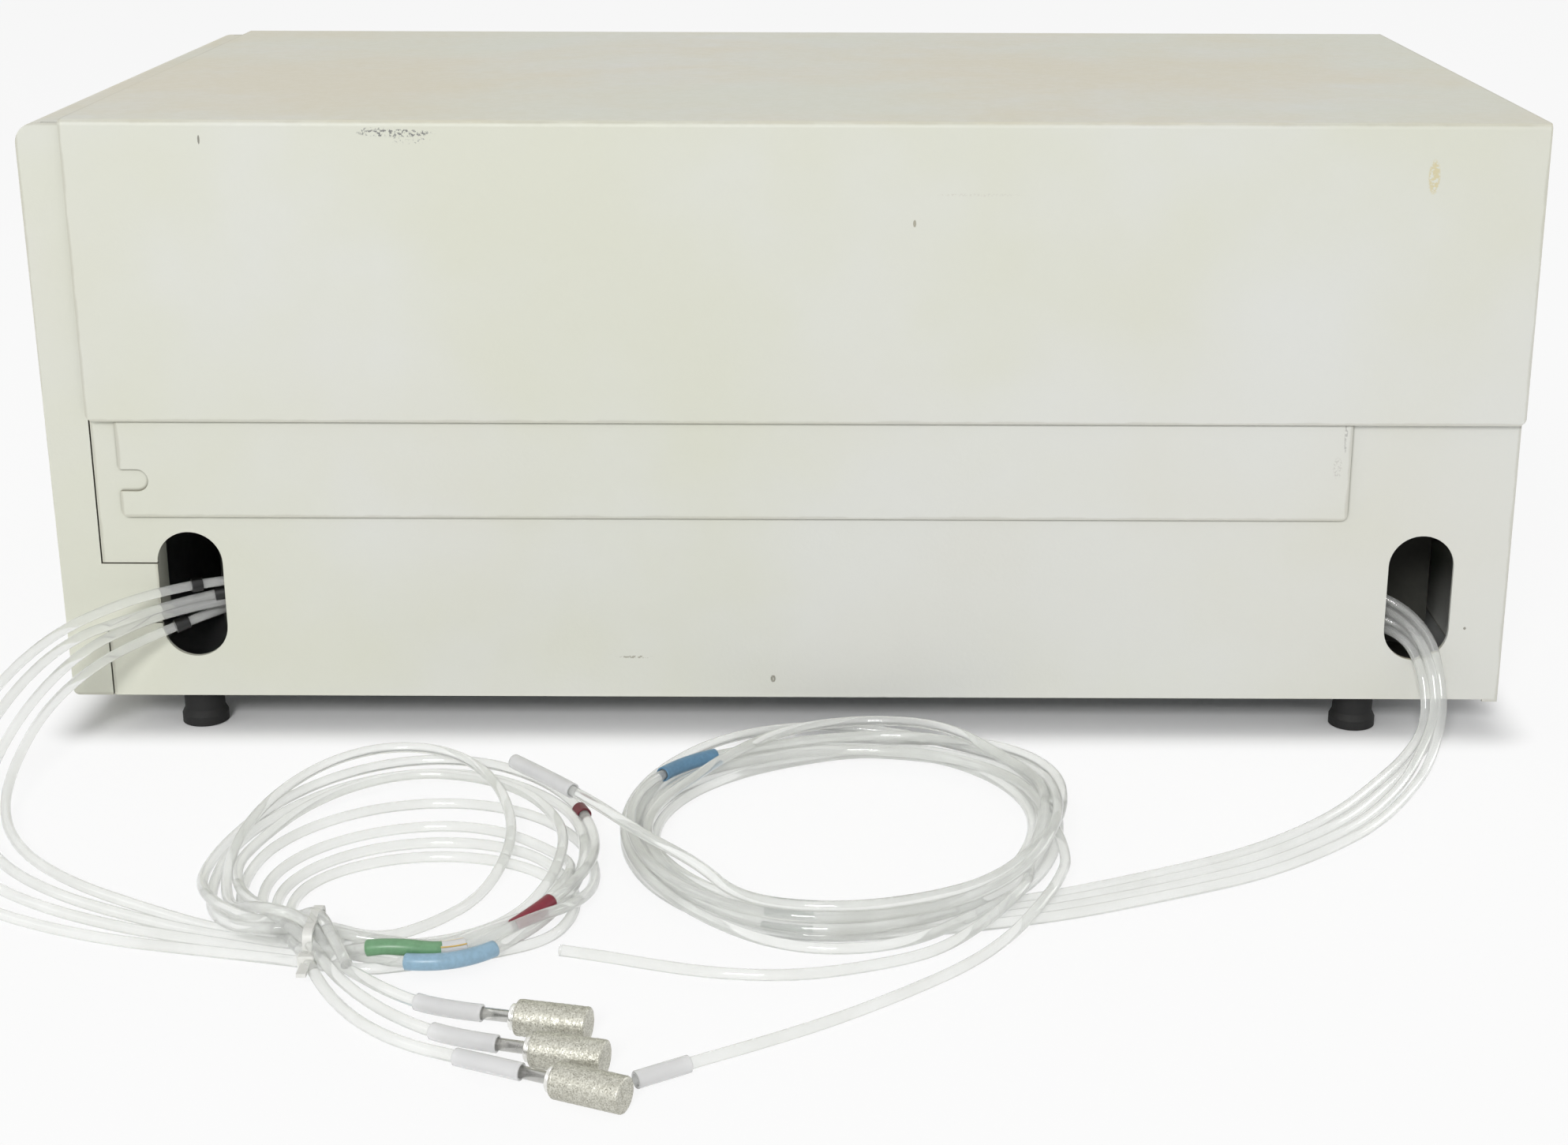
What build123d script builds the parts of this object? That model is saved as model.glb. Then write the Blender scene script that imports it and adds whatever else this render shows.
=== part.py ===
# Bench liquid-chromatography solvent module: folded sheet-metal case, degassing parts inside, two sets of tube lines.
# Millimetres. +X runs to the rear, the front bezel is at -X, the side with the tube slots is at -Y, +Z is up.
# The origin is at the middle of the footprint, on the surface that the feet stand on.
from build123d import *
from math import pi, radians, sin, tan
import os

# Case sizes
case_length = 460.0          # cover, front edge to rear edge
case_width = 260.0           # cover, over both skirts
case_height = 190.5          # tray's underside to the cover's top face
foot_height = 12.0
bezel_depth = 14.5           # at the top
bezel_lean = 1.3             # the bezel is this much shallower at the bottom
bezel_drop = 1.5             # its top below the cover's top
bezel_round = 6.5            # radius along its front top edge
bezel_slit = 0.8             # open seam at its top corners
bezel_slit_length = 6.5
rear_reach = 2.8             # screw heads behind the cover's rear edge

# Sheets
cover_sheet = 1.2
plate_sheet = 1.2
panel_sheet = 1.5
tray_sheet = 1.5
bezel_sheet = 1.5
channel_sheet = 1.5
bracket_sheet = 1.5
bend_radius = 2.0            # outside of every folded edge

# Clearances
slide_gap = 0.3              # beside everything that the cover slides past
seam_gap = 0.5               # between panel edges that meet
screw_gap = 0.25             # round a screw in its hole
tube_gap = 0.15              # round a tube in a sleeve
wall_gap = 0.2               # beside a wall that stands inside another sheet
tray_wall_gap = 0.1          # between the tray's end flange and a wall inside it
thread_gap = 0.05            # between a thread and its nut

# Cover
skirt_height = 96.0
skirt_corner = 2.5
rear_flange_height = 14.0
cover_screw_count = 3
cover_screw_pitch = 105.0
cover_screw_drop = 8.0       # below the cover's top
cover_screw_radius = 2.0
cover_screw_head_radius = 3.8
cover_screw_reach = 4.0      # inside the rear wall
cross_width = 1.0            # driver recess in the screw heads
cross_length = 4.0
cross_depth = 1.2

# Side panels and guide plates
panel_flange = 10.0
panel_front_step = 0.5       # panel's front edge behind the cover's front edge
panel_rear_step = 0.6        # panel's rear edge inside the cover's rear edge
rear_tab_length = 5.0
rear_tab_drop = 0.8
slot_width = 21.3
slot_length = 42.9
slot_height = 35.3           # slot's centre above the tray's underside
front_slot_inset = 29.0      # slot centre behind the cover's front edge
rear_slot_inset = 29.2       # slot centre ahead of the cover's rear edge
tongue_top = 46.3            # mouth of the front slot, above the tray's underside
tongue_bottom = 25.3
tongue_flange_depth = 10.0
tongue_flange_top = 56.0
plate_front = 8.7            # guide plate, behind the cover's front edge
plate_rear_inset = 54.7      # and ahead of its rear edge
plate_bottom = 62.2
plate_top = 118.0
plate_corner = 2.0
notch_depth = 9.3
notch_width = 7.5
notch_height = 74.5

# Tray, front panel and rear panel
tray_flange = 12.0
wall_flange = 10.0
vent_count = 12
vent_width = 3.2
vent_height = 44.0
vent_pitch = 7.0
vent_inset = 32.8            # vents' middle, from the channel's back
vent_z = 100.0
window_bottom = 70.0         # cable window in the front wall
window_drop = 40.0
window_corner = 6.0
stud_radius = 2.0
stud_inset_y = 30.0
stud_inset_z = 34.0
nut_across = 7.0
nut_height = 3.2
lamp_radius = 2.6
lamp_pitch = 16.0
lamp_inset = 60.0            # first lamp, from the cover's slotted side
lamp_z = 150.0
lamp_proud = 0.3
lamp_depth = 7.0
lamp_gap = 0.1

# Feet
foot_top_radius = 6.6
foot_bottom_radius = 7.6
foot_front_inset = 27.6
foot_rear_inset = 46.5
foot_inset = 12.0
foot_recess_radius = 4.6
foot_recess_depth = 6.0
foot_screw_radius = 2.0
foot_screw_head_radius = 3.8
foot_screw_head = 2.6
foot_rim = 3.0
foot_screw_reach = 7.0       # above the tray's floor

# Tubing
tube_radius = 1.5875
sleeve_radius = 2.4
filter_radius = 4.65
filter_length = 19.0
collar_radius = 3.4
collar_length = 1.6
stem_radius = 1.6
stem_length = 9.0
sleeve_length = 20.0

# Tube channel behind the slotted panel, with its two rows of unions
channel_depth = 48.0
channel_top = 72.0           # above the tray's underside
channel_front_gap = 12.4
channel_end_gap = 3.0
union_radius = 4.6
union_length = 8.0
union_flange_radius = 6.2
union_flange = 2.0
union_back_length = 9.0
union_hole_end = 1.0         # the bore is cut this much past the union's tail
inlet_union_inset = 54.15    # first union, behind the cover's front edge
inlet_union_pitch = 14.0
inlet_union_z = 28.0         # above the tray's underside
outlet_union_inset = 120.85  # first union, ahead of the cover's rear edge
outlet_union_pitch = 16.0
outlet_union_z = 22.0
union_rise = 6.0             # from each union to the next

# Degassing chambers on their cradle
chamber_count = 4
chamber_width = 26.0
chamber_depth = 104.0
chamber_height = 84.0
chamber_pitch = 33.0
chamber_front_inset = 40.0
chamber_gap = 57.8           # from the channel's back to the chambers
chamber_lid = 9.0
chamber_corner = 4.0
port_radius = 4.0
port_length = 10.0
port_low = 16.0
port_high = 66.0
cradle_height = 12.0
cradle_flange = 9.0
cradle_spare = 6.0
cradle_inset = 8.0
vacuum_port_radius = 3.2
vacuum_port_height = 8.0
rail_radius = 1.6
rail_drop = 3.5              # below the vacuum ports' tops
hose_radius = 2.4
hose_rise = 26.0

# Vacuum pump
pump_inset = 240.0           # pump's head, behind the cover's front edge
pump_gap = 71.8              # from the channel's back to the pump's axis
pump_head_size = 46.0
pump_head_length = 34.0
pump_motor_radius = 19.0
pump_motor_length = 62.0
pump_lift = 9.0
pump_foot_width = 58.0
pump_foot_flange = 10.0
pump_foot_length = 74.0
pump_corner = 5.0
pump_groove = 1.2
pump_groove_depth = 1.0
pump_shaft_radius = 4.0
pump_shaft_length = 5.0
barb_front = 13.0            # barbs, behind the head's front
barb_pitch = 24.0
pump_barb_radius = 2.4
pump_barb_length = 11.0

# Control board, power supply, rear inlet
board_front_gap = 11.0       # between the chambers and the board
board_rear_gap = 10.5        # between the board and the power supply
board_width = 62.0
board_sheet = 1.6
board_inset = 37.8           # board's middle, inside the far panel
board_edge = 5.0             # standoffs' middle inside the board's edge
standoff_height = 9.0
standoff_radius = 2.8
standoff_pin = 1.5
standoff_nut = 1.8
chip_length = 22.0
chip_width = 9.0
chip_height = 4.0
# places as shares of the board, sizes as multiples of the chip's length, width and height
board_chips = [(0.18, -0.16, 1.0, 1.0, 1.0), (0.18, 0.13, 1.0, 1.0, 1.0), (0.42, 0.0, 0.64, 1.55, 0.75),
               (0.64, -0.23, 0.45, 0.9, 1.0), (0.64, 0.1, 1.1, 0.9, 2.25), (0.87, 0.19, 0.8, 1.55, 3.5)]
capacitor_places = [0.74, 0.82, 0.9]
capacitor_radius = 3.5
capacitor_height = 13.0
supply_length = 104.0
supply_width = 62.0
supply_height = 38.0
supply_rear_gap = 34.0
supply_inset = 49.8          # supply's middle, inside the far panel
supply_sheet = 1.0
supply_holes_x = 9
supply_holes_y = 4
supply_hole_radius = 2.5
supply_hole_pitch_x = 9.0
supply_hole_pitch_y = 12.0
inlet_inset = 41.8           # inlet's middle, inside the far panel
inlet_z = 66.0
inlet_width = 30.0
inlet_height = 62.0
inlet_body_depth = 27.0
inlet_flange_edge = 3.0
socket_width = 24.4
socket_height = 16.4
socket_depth = 17.0
socket_drop = 18.0           # socket's centre below the housing's centre
blade_width = 4.0
blade_thick = 2.0
blade_length = 13.0
blade_pitch = 7.0
blade_drop = 1.5
drawer_width = 22.0
drawer_height = 8.5
drawer_depth = 20.0
drawer_proud = 0.8
drawer_wall = 3.2
grip_width = 8.0
grip_height = 2.5
fuse_radius = 2.5
fuse_gap = 0.3
fuse_pitch = 11.0
fuse_lift = 1.6
rocker_rise = 19.0           # rocker's centre above the housing's centre
rocker_radius = 9.0
rocker_width = 15.0
rocker_gap = 0.4
rocker_axis_depth = 4.5      # axis behind the housing's face
rocker_tip = 6.0
rocker_waist = 3.8
rocker_lip = 1.2
rocker_tilt = 8.0
exhaust_inset = 25.8         # port's middle, inside the slotted panel
exhaust_z = 100.0
exhaust_radius = 5.0
exhaust_flange = 2.5
exhaust_bore = 2.2
exhaust_reach = 8.0
exhaust_nut = 3.0
exhaust_proud = 0.5

# Wiring
wire_radius = 1.1
wire_pitch = 3.0

# Faces that several pieces share
front_x = -(case_length + rear_reach + bezel_depth) / 2 + bezel_depth
rear_x = front_x + case_length
base_z = foot_height
top_z = base_z + case_height
half_width = case_width / 2
plate_face = half_width - cover_sheet - slide_gap
panel_face = plate_face - plate_sheet
inner_face = panel_face - panel_sheet
flange_top = top_z - cover_sheet
floor_z = base_z + tray_sheet
panel_front_x = front_x + panel_front_step
panel_rear_x = rear_x - panel_rear_step
rear_face_x = rear_x - cover_sheet - slide_gap
front_wall_x = front_x + 2.0
wall_side = inner_face - wall_gap
bezel_top = top_z - bezel_drop
slot_centre_z = base_z + slot_height
slot_xs = (front_x + front_slot_inset, rear_x - rear_slot_inset)
rear_wall_x = rear_face_x - tray_sheet - tray_wall_gap
channel_back_y = -inner_face + channel_depth
chamber_y = channel_back_y + chamber_gap + chamber_depth / 2
pump_y = channel_back_y + pump_gap
board_y = inner_face - board_inset
supply_y = inner_face - supply_inset
inlet_y = inner_face - inlet_inset
exhaust_y = -inner_face + exhaust_inset
vent_y = channel_back_y + vent_inset
supply_rear_x = rear_face_x - supply_rear_gap
supply_front_x = supply_rear_x - supply_length
chambers_end_x = front_x + chamber_front_inset + (chamber_count - 1) * chamber_pitch + chamber_width
board_front_x = chambers_end_x + board_front_gap
board_length = supply_front_x - board_rear_gap - board_front_x
nodes = {}


def block(x0, x1, y0, y1, z0, z1):
    # box between two corners
    return Pos((x0 + x1) / 2, (y0 + y1) / 2, (z0 + z1) / 2) * Box(x1 - x0, y1 - y0, z1 - z0)


def rod_x(radius, x0, x1, y, z):
    # round bar along X
    return Pos((x0 + x1) / 2, y, z) * Rot(0, 90, 0) * Cylinder(radius, x1 - x0)


def rod_y(radius, y0, y1, x, z):
    # round bar along Y
    return Pos(x, (y0 + y1) / 2, z) * Rot(90, 0, 0) * Cylinder(radius, y1 - y0)


def rod_z(radius, z0, z1, x, y):
    # round bar along Z
    return Pos(x, y, (z0 + z1) / 2) * Cylinder(radius, z1 - z0)


def folded_x(points, sheet, x0, x1):
    # sheet folded along X: (y, z) points of its outer face, thickened to the left of the walk
    line = FilletPolyline(*[(y, z) for y, z in points], radius=bend_radius)
    band = make_face(offset(line, amount=sheet, side=Side.LEFT))
    return extrude(Plane((x0, 0, 0), x_dir=(0, 1, 0), z_dir=(1, 0, 0)) * band, amount=x1 - x0)


def obround(length, width, thick, x, y, z):
    # upright slot-shaped cutter through a wall that faces Y
    outline = SlotOverall(length, width, rotation=90)
    return Pos(x, y, z) * Rot(90, 0, 0) * extrude(outline, amount=thick / 2, both=True)


def group(parts):
    return Compound(children=list(parts))


def mirror_y(part):
    return mirror(part, about=Plane.XZ)


# Top cover: one folded sheet, top, two long skirts and a rear flange with notches that hang on screws
def make_cover():
    skirt_bottom = top_z - skirt_height
    outline = [(half_width, skirt_bottom), (half_width, top_z), (-half_width, top_z), (-half_width, skirt_bottom)]
    cover = folded_x(outline, cover_sheet, front_x, rear_x)
    upright = [e for e in cover.edges() if abs(e.center().Z - skirt_bottom) < 0.01 and e.length < cover_sheet * 1.5]
    cover = fillet(upright, skirt_corner)
    flange_bottom = top_z - rear_flange_height
    side = inner_face - slide_gap
    flange = block(rear_x - cover_sheet, rear_x, -side, side, flange_bottom, top_z - cover_sheet / 2)
    for y, z in cover_screw_places():
        width = 2 * (cover_screw_radius + screw_gap)
        notch = rod_x(width / 2, rear_x - 5, rear_x + 5, y, z)
        notch += block(rear_x - 5, rear_x + 5, y - width / 2, y + width / 2, flange_bottom - 1, z)
        flange -= notch
    return cover + flange


def cover_screw_places():
    z = top_z - cover_screw_drop
    return [((i - (cover_screw_count - 1) / 2) * cover_screw_pitch, z) for i in range(cover_screw_count)]


def make_cover_screw(y, z):
    tip = rear_x + rear_reach
    head = rod_x(cover_screw_head_radius, rear_x + slide_gap, tip, y, z)
    head = fillet(head.edges().filter_by(GeomType.CIRCLE).sort_by(Axis.X)[-1], 1.0)
    shank = rod_x(cover_screw_radius, rear_wall_x - panel_sheet - cover_screw_reach, rear_x + slide_gap, y, z)
    half = cross_length / 2
    thin = cross_width / 2
    cross = block(tip - cross_depth, tip + 1, y - thin, y + thin, z - half, z + half)
    cross += block(tip - cross_depth, tip + 1, y - half, y + half, z - thin, z + thin)
    return head + shank - cross


# Side panels: wall with an inward flange along the top and, at the rear, a small tab that hangs lower
def make_side_panel(with_slots):
    outline = [(-panel_face, base_z), (-panel_face, flange_top), (-panel_face + panel_flange, flange_top)]
    panel = folded_x(list(reversed(outline)), panel_sheet, panel_front_x, panel_rear_x)
    tab_x = panel_rear_x - rear_tab_length
    panel += block(tab_x, panel_rear_x, -panel_face, -inner_face, base_z - rear_tab_drop, base_z + 1)
    # the flange stops short of the cover's rear flange
    panel -= block(rear_face_x, panel_rear_x + 1, -inner_face, 0, flange_top - 2 * panel_sheet - bend_radius,
                   flange_top + 1)
    if with_slots:
        through = 4 * panel_sheet
        for slot_x in slot_xs:
            panel -= obround(slot_length, slot_width, through, slot_x, -panel_face, slot_centre_z)
        panel -= block(panel_front_x - 1, slot_xs[0], -panel_face - 2, -inner_face + 2,
                       base_z + tongue_bottom, base_z + tongue_top)
    return panel


# Guide plates that stand out from the side panels, half under the skirts
def make_guide_plate():
    x0 = front_x + plate_front
    x1 = rear_x - plate_rear_inset
    z0 = base_z + plate_bottom
    z1 = base_z + plate_top
    plate = block(x0, x1, -plate_face, -panel_face, z0, z1)
    plate = fillet(plate.edges().filter_by(Axis.Y), plate_corner)
    radius = notch_width / 2
    end_x = x0 + notch_depth - radius
    notch_z = base_z + notch_height
    notch = rod_y(radius, -plate_face - 1, -panel_face + 1, end_x, notch_z)
    notch += block(x0 - 1, end_x, -plate_face - 1, -panel_face + 1, notch_z - radius, notch_z + radius)
    return plate - notch


# Base tray: pan with four upturned flanges
def make_tray():
    x0 = front_wall_x
    x1 = rear_face_x
    side = wall_side
    tray = block(x0, x1, -side, side, base_z, base_z + tray_flange)
    tray = fillet(tray.edges().group_by(Axis.Z)[0], bend_radius)
    tray -= block(x0 + tray_sheet, x1 - tray_sheet, -side + tray_sheet, side - tray_sheet,
                  floor_z, base_z + tray_flange + 1)
    for x, y in foot_places():
        tray -= rod_z(foot_screw_radius + screw_gap, base_z - 1, floor_z + 1, x, y)
    return tray


# Front and rear walls stand inside the tray's flanges and carry side flanges of their own
def make_wall(outer_x, inward):
    inner_x = outer_x + inward * panel_sheet
    flange_x = outer_x + inward * wall_flange
    side = wall_side - tray_sheet - wall_gap
    low = floor_z
    high = flange_top - panel_sheet
    wall = block(min(outer_x, flange_x), max(outer_x, flange_x), -side, side, low, high)
    inside_far = flange_x + inward
    wall -= block(min(inner_x, inside_far), max(inner_x, inside_far),
                  -side + panel_sheet, side - panel_sheet, low - 1, high - panel_sheet)
    return wall


def stud_places():
    y = half_width - stud_inset_y
    return [(sy * y, z) for sy in (-1, 1) for z in (base_z + stud_inset_z, top_z - stud_inset_z)]


def make_front_wall():
    wall = make_wall(front_wall_x + tray_sheet + tray_wall_gap, 1)
    x0 = front_wall_x
    for y, z in stud_places():
        wall -= rod_x(stud_radius + screw_gap, x0 - 1, x0 + 8, y, z)
    window = block(x0 - 1, x0 + wall_flange, -half_width * 0.2, half_width * 0.45,
                   base_z + window_bottom, top_z - window_drop)
    wall -= fillet(window.edges().filter_by(Axis.X), window_corner)
    for y in lamp_ys():
        wall -= rod_x(lamp_radius * 2, x0 - 1, x0 + wall_flange, y, lamp_z)
    return wall


def make_rear_wall():
    wall = make_wall(rear_wall_x, -1)
    x1 = rear_face_x
    for i in range(vent_count):
        y = vent_y + (i - (vent_count - 1) / 2) * vent_pitch
        slot = SlotOverall(vent_height, vent_width)
        wall -= Pos(x1, y, base_z + vent_z) * Rot(0, 90, 0) * extrude(slot, amount=6, both=True)
    wall -= block(x1 - 5, x1 + 1, inlet_y - inlet_width / 2, inlet_y + inlet_width / 2,
                  base_z + inlet_z - inlet_height / 2, base_z + inlet_z + inlet_height / 2)
    wall -= rod_x(exhaust_radius + screw_gap, x1 - 5, x1 + 1, exhaust_y, base_z + exhaust_z)
    for y, z in cover_screw_places():
        wall -= rod_x(cover_screw_radius + screw_gap, x1 - 5, x1 + 1, y, z)
    return wall


# Front bezel: folded pan with a rounded top edge, a leaning face, open top corners and the slot's tongue
def make_bezel():
    side = panel_face
    top = bezel_top
    back = front_x
    points = [(back, base_z), (back - bezel_depth + bezel_lean, base_z), (back - bezel_depth, top), (back, top)]
    outer = Plane.XZ * make_face(Polyline(*points, close=True))
    outer = extrude(outer, amount=side, both=True)
    front_top = outer.edges().filter_by(Axis.Y).sort_by(lambda e: e.center().Z - e.center().X)[-1]
    outer = fillet(front_top, bezel_round)
    front_low = outer.edges().filter_by(Axis.Y).sort_by(lambda e: e.center().X + 3 * e.center().Z)[0]
    outer = fillet(front_low, bend_radius)
    s = bezel_sheet
    inner = [(back + 1, base_z + s), (back - bezel_depth + bezel_lean + s, base_z + s),
             (back - bezel_depth + s, top - s), (back + 1, top - s)]
    cavity = Plane.XZ * make_face(Polyline(*inner, close=True))
    cavity = extrude(cavity, amount=side - s, both=True)
    cavity_top = cavity.edges().filter_by(Axis.Y).sort_by(lambda e: e.center().Z - e.center().X)[-1]
    cavity = fillet(cavity_top, bezel_round - s)
    bezel = outer - cavity
    half = bezel_slit / 2
    for sign in (-1, 1):
        slit = block(back - bezel_slit_length, back + 1, -half, half, -half, s + half)
        bezel -= Pos(0, sign * (side - s), top - s) * slit
    # tongue that closes the front slot's mouth, and its return flange
    end = slot_xs[0] - slot_width / 2
    z0 = base_z + tongue_bottom + seam_gap
    z1 = base_z + tongue_top - seam_gap
    bezel += block(back - 0.5, end, -side, -side + s, z0, z1)
    flange_y = -side + s + tongue_flange_depth
    bezel += block(end - s, end, -side, flange_y, z0, z1)
    bezel += block(end - s, end, -inner_face + wall_gap, flange_y, z0, base_z + tongue_flange_top)
    for y, z in stud_places():
        bezel += rod_x(stud_radius, bezel_face_x(z) + s / 2, front_wall_x + 9, y, z)
    for y in lamp_ys():
        bezel -= rod_x(lamp_radius + lamp_gap, back - 2 * bezel_depth, back - s, y, lamp_z)
    return bezel


def lamp_ys():
    return [-half_width + lamp_inset + i * lamp_pitch for i in range(2)]


def bezel_face_x(z):
    # outer face of the leaning bezel at a height
    share = (z - base_z) / (bezel_top - base_z)
    return front_x - bezel_depth + bezel_lean * (1 - share)


def make_lamp(y):
    face = bezel_face_x(lamp_z)
    lamp = rod_x(lamp_radius, face - lamp_proud, face + lamp_depth, y, lamp_z)
    return fillet(lamp.edges().filter_by(GeomType.CIRCLE).sort_by(Axis.X)[0], lamp_proud * 0.9)


def make_hex_nut(y, z, x0):
    hexagon = RegularPolygon(nut_across / 2, 6, major_radius=False)
    nut = Pos(x0, y, z) * Rot(0, 90, 0) * extrude(hexagon, amount=nut_height)
    return nut - rod_x(stud_radius + thread_gap, x0 - 1, x0 + nut_height + 1, y, z)


# Feet
def foot_places():
    y = half_width - foot_inset
    xs = (front_x + foot_front_inset, rear_x - foot_rear_inset)
    return [(x, sy * y) for x in xs for sy in (-1, 1)]


def make_foot(x, y):
    profile = [(foot_screw_radius + screw_gap, foot_recess_depth), (foot_recess_radius, foot_recess_depth),
               (foot_recess_radius, 0), (foot_bottom_radius, 0), (foot_bottom_radius, foot_rim),
               (foot_top_radius, foot_rim + 2 * (foot_bottom_radius - foot_top_radius)),
               (foot_top_radius, foot_height), (foot_screw_radius + screw_gap, foot_height)]
    outline = Plane.XZ * make_face(Polyline(*profile, close=True))
    return Pos(x, y, 0) * revolve(outline, axis=Axis.Z)


def make_foot_screw(x, y):
    seat = foot_recess_depth
    screw = rod_z(foot_screw_head_radius, seat - foot_screw_head, seat, x, y)
    screw += rod_z(foot_screw_radius, seat - foot_screw_head / 2, floor_z + foot_screw_reach, x, y)
    hexagon = RegularPolygon(nut_across / 2, 6, major_radius=False)
    return screw + Pos(x, y, floor_z) * extrude(hexagon, amount=nut_height)


# Black channel that the lines run in, behind the slotted panel
def make_channel():
    y0 = -inner_face + 2 * wall_gap
    z0 = floor_z
    z1 = base_z + channel_top
    x0 = front_wall_x + tray_sheet + tray_wall_gap + wall_flange + channel_front_gap
    x1 = rear_face_x - wall_flange - channel_end_gap
    back = channel_back_y
    outline = [(y0, z1), (back, z1), (back, z0), (-wall_side + 2 * tray_sheet, z0)]
    channel = folded_x(list(reversed(outline)), channel_sheet, x0, x1)
    for x, y in foot_places():
        channel -= rod_z(nut_across, floor_z - 1, floor_z + channel_sheet + 1, x, y)
    for x, z in union_places():
        channel -= rod_y(union_radius + screw_gap, back - 5, back + 5, x, z)
    return channel


def union_places():
    inlet_x = front_x + inlet_union_inset
    outlet_x = rear_x - outlet_union_inset
    count = range(chamber_count)
    inlet = [(inlet_x + i * inlet_union_pitch, base_z + inlet_union_z + i * union_rise) for i in count]
    outlet = [(outlet_x - i * outlet_union_pitch, base_z + outlet_union_z + i * union_rise) for i in count]
    return inlet + outlet


def make_union(x, z):
    # bulkhead union: flange against the channel's back, nut towards the lines, tail inside the case
    wall_front = channel_back_y - channel_sheet
    body = rod_y(union_radius, wall_front - union_length, channel_back_y + union_back_length, x, z)
    body += rod_y(union_flange_radius, wall_front - union_flange, wall_front, x, z)
    body += rod_y(union_flange_radius, channel_back_y, channel_back_y + union_flange, x, z)
    return body - rod_y(tube_radius + tube_gap, wall_front - union_length - union_hole_end,
                        channel_back_y + union_back_length + union_hole_end, x, z)


# Degassing chambers, their cradle and fittings
def chamber_x(i):
    return front_x + chamber_front_inset + i * chamber_pitch


def make_chamber(i):
    x0 = chamber_x(i)
    y0 = chamber_y - chamber_depth / 2
    z0 = floor_z + cradle_height
    body = block(x0, x0 + chamber_width, y0, y0 + chamber_depth, z0, z0 + chamber_height)
    body = fillet(body.edges().filter_by(Axis.Z), chamber_corner)
    groove_z = z0 + chamber_height - chamber_lid
    groove = block(x0 - 1, x0 + chamber_width + 1, y0 - 1, y0 + chamber_depth + 1, groove_z - 0.6, groove_z + 0.6)
    core = block(x0 + 1, x0 + chamber_width - 1, y0 + 1, y0 + chamber_depth - 1, groove_z - 1, groove_z + 1)
    body -= groove - fillet(core.edges().filter_by(Axis.Z), chamber_corner - 1)
    body = fillet(body.edges().group_by(Axis.Z)[-1], 1.2)
    x = x0 + chamber_width / 2
    for z in (z0 + port_low, z0 + port_high):
        body += rod_y(port_radius, y0 - port_length, y0 + 1, x, z)
        body -= rod_y(tube_radius + tube_gap, y0 - port_length - 1, y0 - 2, x, z)
    top = z0 + chamber_height
    vacuum_port = rod_z(vacuum_port_radius, top - 1, top + vacuum_port_height, x, chamber_y)
    return body + vacuum_port


def make_cradle():
    x0 = chamber_x(0) - cradle_spare
    x1 = chamber_x(chamber_count - 1) + chamber_width + cradle_spare
    half = chamber_depth / 2 - cradle_inset
    return make_bridge(chamber_y - half, chamber_y + half, cradle_height, cradle_flange, x0, x1)


def make_bridge(y0, y1, height, flange, x0, x1):
    # low bridge of folded sheet with a foot along each side
    z1 = floor_z + height - bracket_sheet
    outline = [(y0 - flange, floor_z), (y0, floor_z), (y0, z1), (y1, z1), (y1, floor_z), (y1 + flange, floor_z)]
    return folded_x(outline, bracket_sheet, x0, x1)


def tube(points, radius, name=None):
    # tube along straight runs joined by tangent arcs, each as large as its two runs allow
    vectors = [Vector(*p) for p in points]
    radii = []
    for a, b, c in zip(vectors, vectors[1:], vectors[2:]):
        turn = radians((b - a).get_angle(c - b))
        radii.append(0.45 * min((b - a).length, (c - b).length) / tan(turn / 2))
    path = FilletPolyline(*vectors, radius=radii)
    section = Plane(path @ 0, z_dir=path % 0) * Circle(radius)
    solid = sweep(section, path=path)
    if name:
        ratio = solid.volume / (pi * radius ** 2 * path.length)
        print(f"{name}: length {path.length:.0f}, tightest radius {min(radii):.1f}, volume ratio {ratio:.4f}")
    return solid


def make_inner_lines():
    # one line from each inlet union to its chamber, and one from each chamber to its outlet union
    lines = []
    places = union_places()
    z0 = floor_z + cradle_height
    port_y = chamber_y - chamber_depth / 2 - port_length
    tail_y = channel_back_y + union_back_length
    seat = 3.0
    straight = 12.0
    for i in range(chamber_count):
        x = chamber_x(i) + chamber_width / 2
        ux, uz = places[i]
        low = z0 + port_low
        lines.append(tube([(ux, tail_y - seat, uz), (ux, tail_y + straight, uz), (x, port_y - straight, low),
                           (x, port_y + seat, low)], tube_radius))
        ux, uz = places[chamber_count + i]
        high = z0 + port_high
        mid_y = port_y - 10 - 4 * (chamber_count - 1 - i)
        points = [(x, port_y + seat, high), (x, mid_y + 4, high), (x + 16, mid_y - 2, high - 2)]
        steps = 4
        for k in range(1, steps):
            share = k / steps
            sag = 5 * sin(pi * share)
            drop = (high - uz) * share ** 2 + sag
            points.append((x + 16 + (ux - x - 46) * share, mid_y - 2 + sag / 3, high - 2 - drop))
        points += [(ux - 22, mid_y - 2, uz - 1), (ux, mid_y - 8, uz), (ux, tail_y - seat, uz)]
        lines.append(tube(points, tube_radius))
    return lines


# Vacuum pump
def make_pump_bracket():
    x0 = front_x + pump_inset
    half = pump_foot_width / 2
    return make_bridge(pump_y - half, pump_y + half, pump_lift, pump_foot_flange, x0, x0 + pump_foot_length)


def pump_axis_z():
    return floor_z + pump_lift + pump_head_size / 2


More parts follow.
